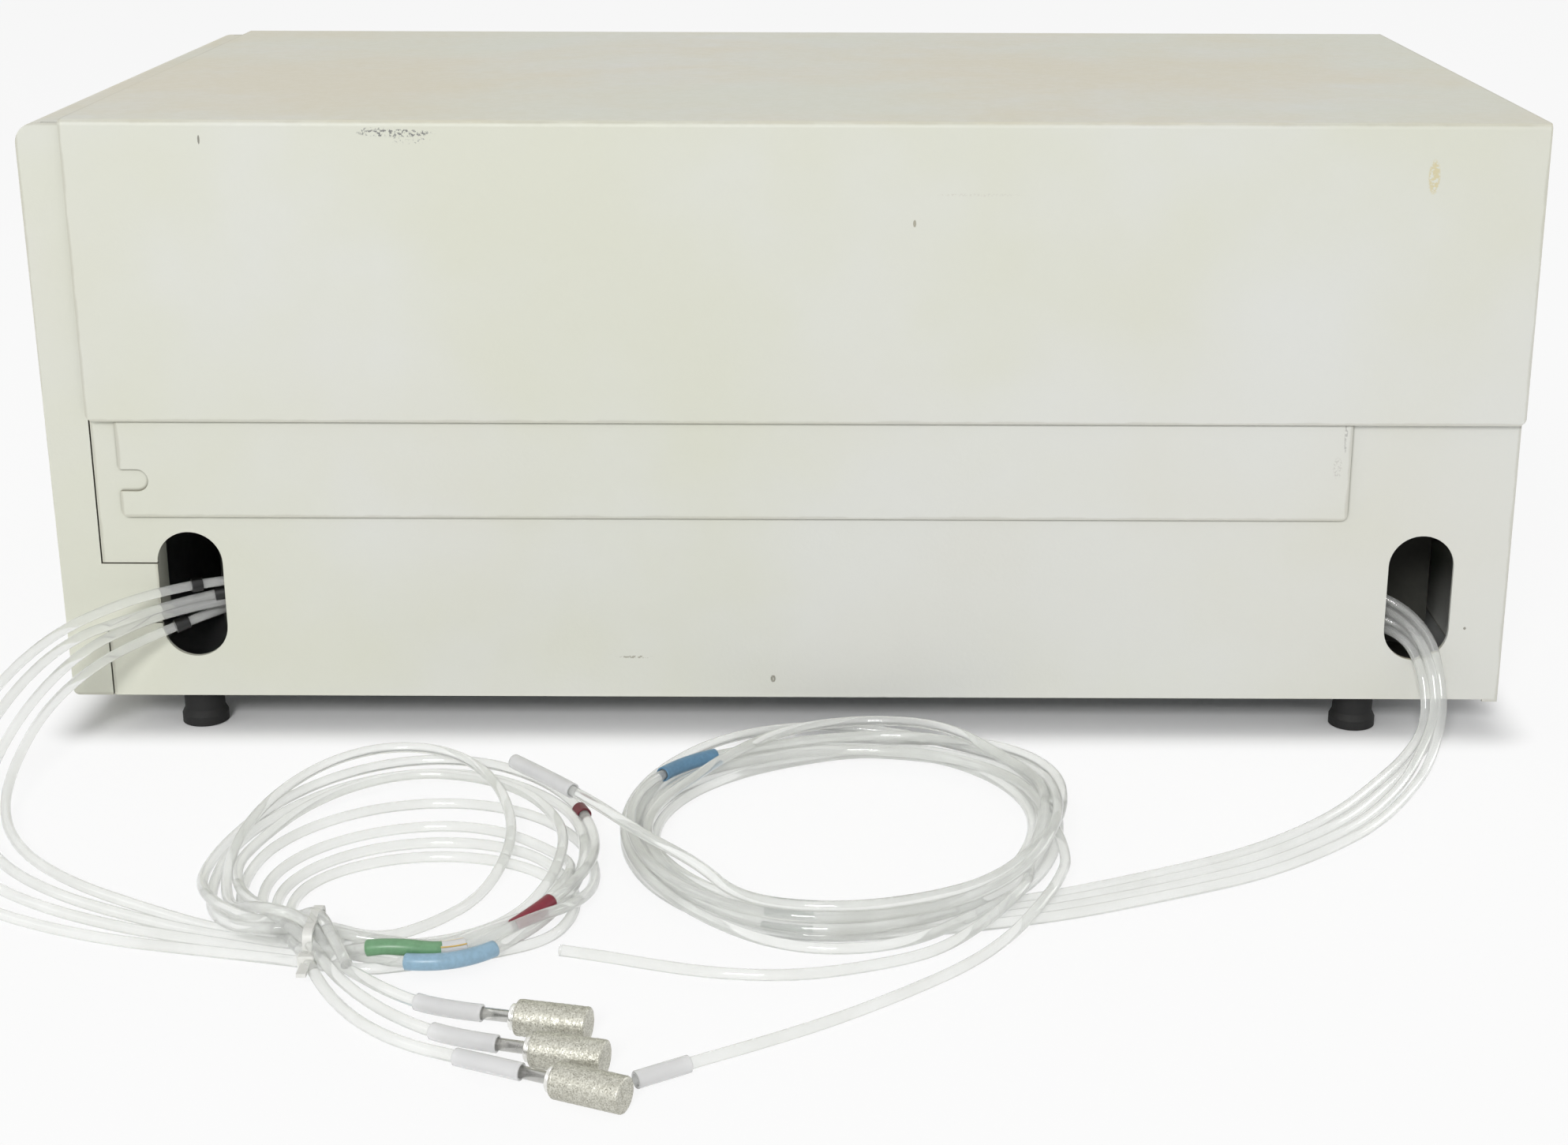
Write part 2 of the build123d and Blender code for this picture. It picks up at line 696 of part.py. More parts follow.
def make_pump_head():
    x0 = front_x + pump_inset
    half = pump_head_size / 2
    z = pump_axis_z()
    head = block(x0, x0 + pump_head_length, pump_y - half, pump_y + half, z - half, z + half)
    head = fillet(head.edges().filter_by(Axis.X), pump_corner)
    inside = half - pump_groove_depth
    for i in range(1, 4):
        x = x0 + i * pump_head_length / 4 - pump_groove / 2
        groove = block(x, x + pump_groove, pump_y - 2 * half, pump_y + 2 * half, z - 2 * half, z + 2 * half)
        keep = block(x - 1, x + pump_groove + 1, pump_y - inside, pump_y + inside, z - inside, z + inside)
        head -= groove - fillet(keep.edges().filter_by(Axis.X), pump_corner - pump_groove_depth)
    for y in (pump_y - barb_pitch / 2, pump_y + barb_pitch / 2):
        head += rod_z(pump_barb_radius, z + half - 1, z + half + pump_barb_length, x0 + barb_front, y)
    return head


def make_pump_motor():
    x0 = front_x + pump_inset + pump_head_length
    x1 = x0 + pump_motor_length
    z = pump_axis_z()
    motor = rod_x(pump_motor_radius, x0, x1, pump_y, z)
    motor = fillet(motor.edges().filter_by(GeomType.CIRCLE).sort_by(Axis.X)[-1], 3)
    return motor + rod_x(pump_shaft_radius, x1 - 1, x1 + pump_shaft_length, pump_y, z)


def make_vacuum_hose():
    # from the last chamber's vacuum port to the pump's first barb
    x0 = chamber_x(chamber_count - 1) + chamber_width / 2
    z0 = floor_z + cradle_height + chamber_height + vacuum_port_height
    z1 = pump_axis_z() + pump_head_size / 2 + pump_barb_length
    x1 = front_x + pump_inset + barb_front
    y1 = pump_y - barb_pitch / 2
    span = x1 - x0
    rise = hose_rise
    return tube([(x0, chamber_y, z0), (x0, chamber_y, z0 + 0.54 * rise), (x0 + 0.26 * span, chamber_y + 2, z0 + rise),
                 (x0 + 0.61 * span, y1 - 2, z0 + 0.85 * rise), (x1, y1, z1 + rise), (x1, y1, z1)], hose_radius)


def make_vacuum_rail():
    # rail that joins the chambers' vacuum ports
    z = floor_z + cradle_height + chamber_height + vacuum_port_height - rail_drop
    parts = []
    for i in range(chamber_count - 1):
        xa = chamber_x(i) + chamber_width / 2 + vacuum_port_radius
        xb = chamber_x(i + 1) + chamber_width / 2 - vacuum_port_radius
        parts.append(rod_x(rail_radius, xa, xb, chamber_y, z))
    return parts


# Control board
def board_z():
    return floor_z + standoff_height


def standoff_places():
    xs = (board_front_x + board_edge, board_front_x + board_length - board_edge)
    half = board_width / 2 - board_edge
    return [(x, board_y + dy) for x in xs for dy in (-half, half)]


def make_board():
    x0 = board_front_x
    z0 = board_z()
    board = block(x0, x0 + board_length, board_y - board_width / 2, board_y + board_width / 2, z0, z0 + board_sheet)
    for x, y in standoff_places():
        board -= rod_z(standoff_pin + wall_gap, z0 - 1, z0 + board_sheet + 1, x, y)
    return board


def make_board_parts():
    z0 = board_z() + board_sheet
    parts = []
    for along, across, length, width, height in board_chips:
        x = board_front_x + along * board_length
        y = board_y + across * board_width
        chip = block(x - chip_length * length / 2, x + chip_length * length / 2,
                     y - chip_width * width / 2, y + chip_width * width / 2, z0, z0 + chip_height * height)
        parts.append(chip)
    for along in capacitor_places:
        x = board_front_x + along * board_length
        parts.append(rod_z(capacitor_radius, z0, z0 + capacitor_height, x, board_y - board_width / 4))
    return parts


def make_standoffs():
    posts = []
    for x, y in standoff_places():
        post = rod_z(standoff_radius, floor_z, board_z(), x, y)
        seat = board_z() + board_sheet
        post += rod_z(standoff_pin, board_z() - 1, seat, x, y)
        post += rod_z(standoff_radius, seat, seat + standoff_nut, x, y)
        posts.append(post)
    return posts


# Power supply in its own vented can
def make_supply():
    x0 = supply_front_x
    x1 = supply_rear_x
    y0 = supply_y - supply_width / 2
    y1 = supply_y + supply_width / 2
    z1 = floor_z + supply_height
    can = block(x0, x1, y0, y1, floor_z, z1)
    can = fillet(can.edges().filter_by(Axis.X).group_by(Axis.Z)[-1], bend_radius)
    s = supply_sheet
    can -= block(x0 + s, x1 - s, y0 + s, y1 - s, floor_z + s, z1 - s)
    for i in range(supply_holes_x):
        for j in range(supply_holes_y):
            x = (x0 + x1) / 2 + (i - (supply_holes_x - 1) / 2) * supply_hole_pitch_x
            y = supply_y + (j - (supply_holes_y - 1) / 2) * supply_hole_pitch_y
            can -= rod_z(supply_hole_radius, z1 - 2 * s, z1 + 1, x, y)
    return can


# Rear inlet with switch and fuse drawer
def make_power_inlet():
    face = rear_x
    wall = rear_wall_x
    hw = inlet_width / 2
    hh = inlet_height / 2
    z = base_z + inlet_z
    edge = inlet_flange_edge
    flange = block(wall, face, inlet_y - hw - edge, inlet_y + hw + edge, z - hh - edge, z + hh + edge)
    flange = fillet(flange.edges().filter_by(Axis.X), 3)
    g = wall_gap
    body = flange + block(face - inlet_body_depth, wall + 0.5, inlet_y - hw + g, inlet_y + hw - g,
                          z - hh + g, z + hh - g)
    sz = z - socket_drop
    socket = block(face - socket_depth, face + 1, inlet_y - socket_width / 2, inlet_y + socket_width / 2,
                   sz - socket_height / 2, sz + socket_height / 2)
    socket = chamfer(socket.edges().filter_by(Axis.X).group_by(Axis.Z)[0], 4)
    body -= socket
    g = slide_gap
    body -= block(face - drawer_depth - 0.5, face + 1, inlet_y - drawer_width / 2 - g, inlet_y + drawer_width / 2 + g,
                  z - drawer_height / 2 - g, z + drawer_height / 2 + g)
    rz = z + rocker_rise
    r = rocker_radius + rocker_gap
    hwid = rocker_width / 2 + rocker_gap
    body -= block(face - rocker_axis_depth, face + 1, inlet_y - hwid, inlet_y + hwid, rz - r, rz + r)
    body -= rod_y(r, inlet_y - hwid, inlet_y + hwid, face - rocker_axis_depth, rz)
    return body


def make_blades():
    face = rear_x
    z = base_z + inlet_z - socket_drop
    x0 = face - socket_depth
    blades = []
    for dy, dz in ((-blade_pitch, -blade_drop), (blade_pitch, -blade_drop), (0, 2 * blade_drop)):
        blade = block(x0, x0 + blade_length, inlet_y + dy - blade_thick / 2, inlet_y + dy + blade_thick / 2,
                      z + dz - blade_width / 2, z + dz + blade_width / 2)
        blades.append(chamfer(blade.edges().group_by(Axis.X)[-1], 0.5))
    return blades


def make_fuse_drawer():
    face = rear_x
    z = base_z + inlet_z
    half = drawer_height / 2
    drawer = block(face - drawer_depth, face + drawer_proud, inlet_y - drawer_width / 2, inlet_y + drawer_width / 2,
                   z - half, z + half)
    drawer -= block(face - drawer_proud, face + 2, inlet_y - grip_width / 2, inlet_y + grip_width / 2,
                    z - half - 1, z - half + grip_height)
    x0 = face - drawer_depth + drawer_wall
    x1 = face - drawer_wall
    r = fuse_radius + fuse_gap
    for y in fuse_ys():
        trough = rod_x(r, x0, x1, y, z + fuse_lift)
        trough += block(x0, x1, y - r, y + r, z + fuse_lift, z + drawer_height)
        drawer -= trough
    return drawer


def fuse_ys():
    return (inlet_y - fuse_pitch / 2, inlet_y + fuse_pitch / 2)


def make_fuses():
    x0 = rear_x - drawer_depth + drawer_wall + fuse_gap
    x1 = rear_x - drawer_wall - fuse_gap
    return [rod_x(fuse_radius, x0, x1, y, base_z + inlet_z + fuse_lift) for y in fuse_ys()]


def make_rocker():
    axis_x = rear_x - rocker_axis_depth
    z = base_z + inlet_z + rocker_rise
    width = rocker_width
    drum = rod_y(rocker_radius, -width / 2, width / 2, 0, 0)
    reach = rocker_radius + 1
    lip = rocker_radius - rocker_lip
    outline = [(-reach, -reach), (rocker_tip, -reach), (rocker_tip, -lip), (rocker_waist, 0),
               (rocker_tip, lip), (rocker_tip, reach), (-reach, reach)]
    keep = extrude(Plane.XZ * make_face(Polyline(*outline, close=True)), amount=width, both=True)
    body = drum & keep
    return Pos(axis_x, inlet_y, z) * Rot(0, rocker_tilt, 0) * body


def make_exhaust():
    wall = rear_wall_x
    inside = wall - panel_sheet
    z = base_z + exhaust_z
    rim = exhaust_radius + exhaust_flange
    port = rod_x(exhaust_radius, inside - exhaust_reach, wall, exhaust_y, z)
    port += rod_x(rim, wall, rear_x + exhaust_proud, exhaust_y, z)
    port += rod_x(rim, inside - exhaust_nut, inside, exhaust_y, z)
    return port - rod_x(exhaust_bore, inside - 2 * exhaust_reach, rear_x + 2, exhaust_y, z)


# Wires between the rear inlet, the power supply, the board and the pump's motor
def make_wires():
    wires = []
    inlet_back = rear_x - inlet_body_depth
    top_x = supply_rear_x
    for i in range(3):
        y = inlet_y + (i - 1) * wire_pitch
        z0 = base_z + inlet_z - 2 * wire_pitch
        z1 = floor_z + supply_height / 2
        mid = (inlet_back + top_x) / 2
        wires.append(tube([(inlet_back, y, z0), (mid, y, z0), (mid, y, z1), (top_x, y, z1)], wire_radius))
    for i in range(2):
        y = supply_y + (i + 2) * wire_pitch
        z0 = floor_z + supply_height / 2
        x1 = board_front_x + board_length - wire_pitch
        z1 = board_z() + board_sheet
        wires.append(tube([(supply_front_x, y, z0), (x1, y, z0), (x1, y, z1)], wire_radius))
    return wires


# Tube lines outside the case. Points are chosen along each line as it lies; the coils between them are solids.
inlet_leads = [
    [(-170, -87.3, 40), (-170, -105, 40), (-185, -120, 38.5), (-205, -132, 37), (-223, -143, 31),
     (-236, -159, 20), (-241, -180, 8.5), (-237, -204, 3), (-224, -228, 1.7), (-203, -249, 1.8),
     (-176, -265, 1.7), (-149, -277, 2.2), (-122, -285, 3.2)],
    [(-156, -87.3, 46), (-156, -103, 46), (-166, -115, 45.2), (-179, -121, 44.4), (-193.5, -126.8, 43.4),
     (-209, -136, 41.5),
     (-227, -148, 35), (-240, -165, 23), (-246, -187, 10), (-242, -211, 3.5), (-229, -235, 1.8),
     (-206, -256, 1.7), (-178, -271, 1.8), (-150, -281.5, 2.2), (-122, -288.6, 3.2)],
    [(-142, -87.3, 52), (-142, -102.5, 52), (-152, -113.5, 51.2), (-165, -119, 50.2), (-180, -121.5, 49),
     (-196, -127, 48),
     (-212, -138, 46), (-230, -152, 40), (-244, -171, 28), (-251, -194, 13), (-248, -219, 4),
     (-234, -243, 1.7), (-210, -263, 1.9), (-181, -277, 1.7), (-151, -286, 2.2), (-122, -292.2, 3.2)],
    [(-128, -87.3, 58), (-128, -102, 58), (-138.5, -112.5, 57.2), (-151.5, -117.5, 56), (-165.5, -119.3, 55),
     (-181, -122, 54),
     (-198, -129, 52.5), (-216, -141, 50), (-234, -156, 43), (-248, -176, 31), (-256, -201, 15),
     (-254, -227, 4.5), (-240, -252, 1.7), (-215, -271, 1.8), (-184, -284, 1.7), (-152, -291, 2.3),
     (-122, -295.8, 3.2)],
]
inlet_tails = [
    [(-112.6, -296, 3.4), (-98.7, -324.3, 4.65), (-74.3, -329.7, 4.65)],
    [(-116.2, -297.6, 3.4), (-110, -320, 2.4), (-92.5, -339, 4.65), (-68.3, -345.3, 4.65)],
    [(-119.8, -299.6, 3.4), (-118.5, -316, 1.9), (-108.5, -336.5, 2.4), (-83.7, -349, 4.65),
     (-60.6, -358.7, 4.65)],
    [(-116, -294, 7.5), (-114.5, -301, 7.3), (-112, -307.5, 6.6)],
]
outlet_leads = [
    [(115, -87.3, 34), (115, -103, 34), (125, -114.5, 34.3), (138, -119.8, 35), (154, -121.3, 36), (170, -119.5, 36.6),
     (185, -118, 36.4), (197.5, -119.8, 35), (204.8, -126.5, 31.8), (207.9, -134.5, 24.4), (209.1, -139, 14.5),
     (207.1, -143.9, 6.5), (199.3, -153.9, 1.9), (188.7, -170.1, 1.7), (174.3, -191.1, 1.8), (160.7, -206.4, 1.7),
     (138, -226, 1.9), (110, -240.5, 1.7), (82, -253.5, 1.8), (60, -261, 2), (40, -266, 2.2)],
    [(99, -87.3, 40), (99, -103, 40), (109, -114, 40), (122, -118.5, 40.2), (139, -119.4, 40.8), (158, -118.8, 41.6),
     (173, -117, 42.6), (187, -116.3, 42.4), (201, -118.6, 38), (208.4, -126.2, 31), (210.5, -132.6, 23.6),
     (211.8, -136.9, 13.6), (210.1, -143.7, 4.6), (202.6, -155.8, 1.8), (191.9, -172, 1.7), (177.7, -193.7, 1.7),
     (163.9, -209.8, 1.8), (139, -230.5, 1.7), (111, -245, 1.8), (82.5, -257.8, 1.7), (60, -265.2, 2), (39, -270, 2.2)],
    [(83, -87.3, 46), (83, -102.5, 46), (93.5, -113, 45.8), (107, -116.2, 45.5), (123, -116.4, 45.5), (142, -115.8, 46),
     (163, -115, 46.8), (176, -113.7, 47.8), (187, -114.2, 47.3), (200.5, -118.5, 42.5), (207.8, -127, 35),
     (210.5, -136.2, 26.4), (211.8, -141.1, 15.7), (208.9, -146.3, 8.4), (203.9, -156.5, 5), (195.1, -174, 2.2),
     (181.3, -196.3, 1.7), (167.1, -213.2, 1.8), (141, -235, 1.8), (112, -249.5, 1.7), (83, -262, 1.9),
     (60, -269.3, 2), (38, -274, 2.2)],
    [(67, -87.3, 52), (67, -102, 52), (77.5, -112, 51.6), (91, -115, 51), (108, -114.9, 50.6), (126, -113.4, 50.6),
     (147, -111.5, 51.2), (167, -110.4, 52.2), (179, -110.6, 52.8), (190.5, -112.6, 51), (204.5, -117.6, 43.5),
     (211.8, -126.6, 33.6), (213.4, -133.8, 25.3), (214.5, -139, 14.5), (211.9, -146.1, 6.5), (206.7, -158.1, 2),
     (198.3, -175.9, 1.8), (184.7, -198.9, 1.7), (170.3, -216.6, 1.8), (142.5, -239.5, 1.7), (113, -254, 1.9),
     (83.5, -266.3, 1.7), (60, -273.5, 2), (37, -278, 2.2)],
]
outlet_tails = [
    [(86, -222, 6.5), (83.5, -237, 8), (80, -253, 9), (74, -268, 9), (65, -282, 6), (53, -296, 2.5),
     (36, -312, 1.7), (16, -328, 1.8), (-4, -341, 1.9), (-18, -350, 2.4), (-32, -359, 2.4)],
    [(73, -243, 7), (71, -256, 9), (65, -268, 9.3), (56, -279, 7), (44, -289, 3.5), (27, -298, 1.8),
     (7, -303.5, 1.7), (-14, -303, 1.8), (-33, -297.5, 1.7), (-47, -292.5, 1.7), (-58, -289.5, 1.7)],
    [(-8, -268, 11), (-22, -258, 15.5), (-39, -243, 17.6), (-60, -220, 18), (-82, -196, 17.5)],
    None,
]
inlet_coil_outer = [(-124, -297), (-92, -301), (-66, -277), (-54, -240), (-62, -203), (-82, -178),
                    (-110, -168), (-138, -174), (-157, -196), (-166, -226), (-152, -266)]
inlet_coil_inner = [(-118, -272), (-98, -275), (-80, -258), (-74, -235), (-84, -215), (-104, -209),
                    (-124, -222), (-132, -248)]
outlet_coil_outer = [(38, -282), (9, -284), (-19, -267), (-42, -240), (-52, -210), (-50, -178),
                     (-34, -154), (-4, -142), (32, -141), (62, -154), (83, -180), (90, -209),
                     (82, -240), (64, -264)]
outlet_coil_inner = [(34, -262), (8, -262), (-14, -247), (-29, -226), (-34, -204), (-32, -181),
                     (-20, -165), (2, -158), (30, -158), (52, -168), (67, -188), (72, -210),
                     (66, -232), (54, -248)]
inlet_coil_height = 14.0
outlet_coil_height = 14.0
tie_x = -124.0
tie_width = 2.6
tie_band = 1.1
tie_inside = (-298.2, -281.8, 1.5, 10.6)   # low y, high y, low z, high z
tie_head = 4.6
tie_tail = 6.2


def make_coil(outer, inner, height):
    # closed solid of the coil's outer shape, standing on the floor
    body = extrude(make_face(Spline(*outer, periodic=True)), amount=height)
    return body - extrude(make_face(Spline(*inner, periodic=True)), amount=height)


def make_line(name, lead, tail):
    solids = [tube(lead, tube_radius, name)]
    if tail:
        solids.append(tube(tail, tube_radius, name + " tail"))
    return solids


def end_plane(points):
    # plane at the end of a line's last run, facing along it
    a, b = (Vector(*p) for p in points[-2:])
    return Plane(b, z_dir=b - a)


def make_filter(points):
    # sintered cup with a turned collar and a stem that meets the tube
    profile = [(0, 0), (stem_radius, 0), (stem_radius, stem_length), (collar_radius, stem_length),
               (collar_radius, stem_length + collar_length), (filter_radius, stem_length + collar_length),
               (filter_radius, stem_length + collar_length + filter_length),
               (0, stem_length + collar_length + filter_length)]
    cup = revolve(Plane.XZ * make_face(Polyline(*profile, close=True)), axis=Axis.Z)
    rims = [e for e in cup.edges().filter_by(GeomType.CIRCLE) if abs(e.radius - filter_radius) < 0.01]
    return end_plane(points) * fillet(rims, 0.6)


def make_stem_sleeve(points):
    over_stem = stem_length - 2
    ring = Circle(sleeve_radius) - Circle(tube_radius + tube_gap)
    sleeve = extrude(ring, amount=sleeve_length - over_stem)
    return end_plane(points) * (Rot(180, 0, 0) * sleeve + extrude(ring, amount=over_stem))


def make_end_sleeve(points, length):
    ring = Circle(sleeve_radius) - Circle(tube_radius + tube_gap)
    return end_plane(points) * (Rot(180, 0, 0) * extrude(ring, amount=length))


def make_tie():
    y0, y1, z0, z1 = tie_inside
    b = tie_band
    x0 = tie_x - tie_width / 2
    x1 = tie_x + tie_width / 2
    loop = block(x0, x1, y0 - b, y1 + b, z0 - b, z1 + b)
    loop = fillet(loop.edges().filter_by(Axis.X), 3)
    hole = block(x0 - 1, x1 + 1, y0, y1, z0, z1)
    loop -= fillet(hole.edges().filter_by(Axis.X), 2)
    half = tie_head / 2
    head_y = y0 - b - tie_head * 0.7
    mid_z = z0 + half
    head = block(tie_x - half, tie_x + half, head_y, y0 - b / 2, z0, z0 + tie_head)
    tail = block(x0, x1, head_y - tie_tail, head_y + 0.5, mid_z - b / 2, mid_z + b / 2)
    return loop + fillet(head.edges(), 0.5) + tail


nodes["base_tray"] = make_tray()
nodes["near_side_panel"] = make_side_panel(True)
nodes["far_side_panel"] = mirror_y(make_side_panel(False))
nodes["near_guide_plate"] = make_guide_plate()
nodes["far_guide_plate"] = mirror_y(make_guide_plate())
nodes["front_wall"] = make_front_wall()
nodes["rear_wall"] = make_rear_wall()
nodes["front_bezel"] = make_bezel()
nodes["top_cover"] = make_cover()
nodes["cover_screws"] = group(make_cover_screw(y, z) for y, z in cover_screw_places())
nut_x = front_wall_x + tray_sheet + tray_wall_gap + panel_sheet
nodes["bezel_nuts"] = group(make_hex_nut(y, z, nut_x) for y, z in stud_places())
nodes["status_lamps"] = group(make_lamp(y) for y in lamp_ys())
for number, place in enumerate(foot_places(), 1):
    nodes[f"foot_{number}"] = make_foot(*place)
nodes["foot_screws"] = group(make_foot_screw(*place) for place in foot_places())
nodes["tube_channel"] = make_channel()
places = union_places()
nodes["inlet_unions"] = group(make_union(*place) for place in places[:4])
nodes["outlet_unions"] = group(make_union(*place) for place in places[4:])
nodes["chamber_cradle"] = make_cradle()
for number in range(chamber_count):
    nodes[f"degassing_chamber_{number + 1}"] = make_chamber(number)
nodes["inner_lines"] = group(make_inner_lines())
nodes["vacuum_rail"] = group(make_vacuum_rail())
nodes["vacuum_hose"] = make_vacuum_hose()
nodes["pump_bracket"] = make_pump_bracket()
nodes["pump_head"] = make_pump_head()
nodes["pump_motor"] = make_pump_motor()
nodes["control_board"] = make_board()
nodes["board_parts"] = group(make_board_parts())
nodes["board_standoffs"] = group(make_standoffs())
nodes["power_supply"] = make_supply()
nodes["power_inlet"] = make_power_inlet()
nodes["inlet_blades"] = group(make_blades())
nodes["fuse_drawer"] = make_fuse_drawer()
nodes["fuses"] = group(make_fuses())
nodes["power_rocker"] = make_rocker()
nodes["exhaust_port"] = make_exhaust()
nodes["inner_wires"] = group(make_wires())
for number, (lead, tail) in enumerate(zip(inlet_leads, inlet_tails), 1):
    nodes[f"inlet_line_{number}"] = group(make_line(f"inlet_line_{number}", lead, tail))
for number, (lead, tail) in enumerate(zip(outlet_leads, outlet_tails), 1):
    nodes[f"outlet_line_{number}"] = group(make_line(f"outlet_line_{number}", lead, tail))
nodes["inlet_coil"] = make_coil(inlet_coil_outer, inlet_coil_inner, inlet_coil_height)
nodes["outlet_coil"] = make_coil(outlet_coil_outer, outlet_coil_inner, outlet_coil_height)
for number in range(3):
    nodes[f"inlet_filter_{number + 1}"] = make_filter(inlet_tails[number])
nodes["stem_sleeves"] = group(make_stem_sleeve(inlet_tails[i]) for i in range(3))
nodes["end_sleeves"] = group([make_end_sleeve(outlet_tails[0], 15), make_end_sleeve(outlet_tails[2], 30)])
nodes["cable_tie"] = make_tie()

os.makedirs("parts", exist_ok=True)
for name, shape in nodes.items():
    export_step(shape, f"parts/{name}.step")
print(len(nodes), "nodes written")
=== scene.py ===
# Bench solvent module: finishes of the folded case, and its tube lines with coils, filters and sleeves.
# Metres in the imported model's frame: +X to the rear, the slotted side at -Y, +Z up.
# Points and sizes marked mm are multiplied by mm where they are used.
import math
import bpy
import numpy as np
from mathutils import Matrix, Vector


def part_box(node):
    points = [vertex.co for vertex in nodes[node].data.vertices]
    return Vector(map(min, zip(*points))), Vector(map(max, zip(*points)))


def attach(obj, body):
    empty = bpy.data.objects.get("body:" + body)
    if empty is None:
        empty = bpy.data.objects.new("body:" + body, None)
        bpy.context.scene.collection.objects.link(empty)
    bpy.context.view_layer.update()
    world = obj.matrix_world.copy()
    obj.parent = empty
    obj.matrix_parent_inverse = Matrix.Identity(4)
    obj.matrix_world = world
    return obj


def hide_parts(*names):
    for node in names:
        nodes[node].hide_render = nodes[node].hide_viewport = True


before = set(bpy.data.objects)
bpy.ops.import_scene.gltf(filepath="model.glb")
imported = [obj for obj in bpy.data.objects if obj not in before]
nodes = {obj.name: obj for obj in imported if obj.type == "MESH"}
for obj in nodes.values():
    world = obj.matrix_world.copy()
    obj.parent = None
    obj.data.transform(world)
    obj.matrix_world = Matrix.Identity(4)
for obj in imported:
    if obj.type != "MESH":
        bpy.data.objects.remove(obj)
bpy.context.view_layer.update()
mm = 0.001
print("frame:", len(nodes), "nodes")


# ---- camera, light and floor

cameraLook = {
    "place": (0.01875, -0.8866, 0.30851),
    "turn": (72.116, -0.156, 0.154),  # degrees about X, Y, Z
    "lens": 56.245,
    "sensor": 36.0,
    "shift": (-0.0364, -0.0146),
}

studio = {
    "worldStrength": 0.46,
    "lamps": {  # place, aim, size, watts
        "front_lamp": ((-0.5, -2.7, 1.6), (0.0, 0.0, 0.1), 0.7, 39.0),
        "left_lamp": ((-2.3, -0.8, 1.2), (0.0, 0.0, 0.1), 1.2, 4.6),
        "top_lamp": ((0.4, -0.2, 2.6), (0.0, 0.0, 0.1), 0.9, 2.0),
        "rear_lamp": ((2.6, 1.1, 0.8), (0.0, 0.0, 0.1), 1.2, 11.0),
    },
    "floorColour": 0.93,
    "floorGlow": 0.86,  # share of plain white that the eye sees on the open floor
    "glowBox": (0.231, 0.125),  # half sizes of the footprint that has no glow
    "glowSpan": (0.001, 0.02),  # distances past it where the glow starts and is full
    "floorSize": 14.0,
    "floorDrop": 0.0002,
}


def makeCamera(look):
    data = bpy.data.cameras.new("camera")
    data.lens = look["lens"]
    data.sensor_width = look["sensor"]
    data.shift_x, data.shift_y = look["shift"]
    data.clip_start = 0.01
    camera = bpy.data.objects.new("camera", data)
    bpy.context.scene.collection.objects.link(camera)
    camera.location = look["place"]
    camera.rotation_euler = [math.radians(a) for a in look["turn"]]
    bpy.context.scene.camera = camera


def seenRay(tree):
    # 1 for rays that the eye, a gloss or a glass sends, 0 for light on surfaces
    path = tree.nodes.new("ShaderNodeLightPath")
    total = mathNode(tree, "ADD", path.outputs["Is Camera Ray"], path.outputs["Is Glossy Ray"])
    total = mathNode(tree, "ADD", total, path.outputs["Is Transmission Ray"])
    return mathNode(tree, "MINIMUM", total, 1.0)


def makeWorld(look):
    world = bpy.data.worlds.new("studio")
    world.use_nodes = True
    tree = world.node_tree
    background = tree.nodes["Background"]
    seen = seenRay(tree)
    strength = mathNode(tree, "MULTIPLY_ADD", seen, 1 - look["worldStrength"], look["worldStrength"])
    tree.links.new(strength, background.inputs["Strength"])
    background.inputs["Color"].default_value = (1, 1, 1, 1)
    bpy.context.scene.world = world


def makeLamps(look):
    for name, (place, aim, size, watts) in look["lamps"].items():
        data = bpy.data.lights.new(name, "AREA")
        data.size = size
        data.energy = watts
        lamp = bpy.data.objects.new(name, data)
        bpy.context.scene.collection.objects.link(lamp)
        lamp.location = place
        away = [a - b for a, b in zip(place, aim)]
        lamp.rotation_euler = Vector(away).to_track_quat("Z", "Y").to_euler()


def makeFloor(look):
    half = look["floorSize"] / 2
    z = -look["floorDrop"]
    corners = [(-half, -half, z), (half, -half, z), (half, half, z), (-half, half, z)]
    mesh = bpy.data.meshes.new("floor")
    mesh.from_pydata(corners, [], [(0, 1, 2, 3)])
    floor = bpy.data.objects.new("floor", mesh)
    bpy.context.scene.collection.objects.link(floor)
    material = bpy.data.materials.new("floor")
    material.use_nodes = True
    tree = material.node_tree
    tree.nodes.remove(tree.nodes["Principled BSDF"])
    matt = tree.nodes.new("ShaderNodeBsdfDiffuse")
    matt.inputs["Color"].default_value = (look["floorColour"],) * 3 + (1,)
    glow = tree.nodes.new("ShaderNodeEmission")
    mix = tree.nodes.new("ShaderNodeMixShader")
    # no glow under the case, so that its shadow stays
    split = tree.nodes.new("ShaderNodeSeparateXYZ")
    tree.links.new(tree.nodes.new("ShaderNodeTexCoord").outputs["Object"], split.inputs[0])
    squares = []
    for coordinate, reach in zip(split.outputs, look["glowBox"]):
        past = mathNode(tree, "SUBTRACT", mathNode(tree, "ABSOLUTE", coordinate), reach)
        past = mathNode(tree, "MAXIMUM", past, 0.0)
        squares.append(mathNode(tree, "MULTIPLY", past, past))
    gap = mathNode(tree, "SQRT", mathNode(tree, "ADD", *squares))
    glowing = stretch(tree, gap, *look["glowSpan"], 0.0, look["floorGlow"])
    tree.links.new(mathNode(tree, "MULTIPLY", seenRay(tree), glowing), mix.inputs[0])
    tree.links.new(matt.outputs[0], mix.inputs[1])
    tree.links.new(glow.outputs[0], mix.inputs[2])
    tree.links.new(mix.outputs[0], tree.nodes["Material Output"].inputs["Surface"])
    mesh.materials.append(material)


# ---- small tools for shader trees

def feed(tree, socket, value):
    if isinstance(value, bpy.types.NodeSocket):
        tree.links.new(value, socket)
    else:
        socket.default_value = value


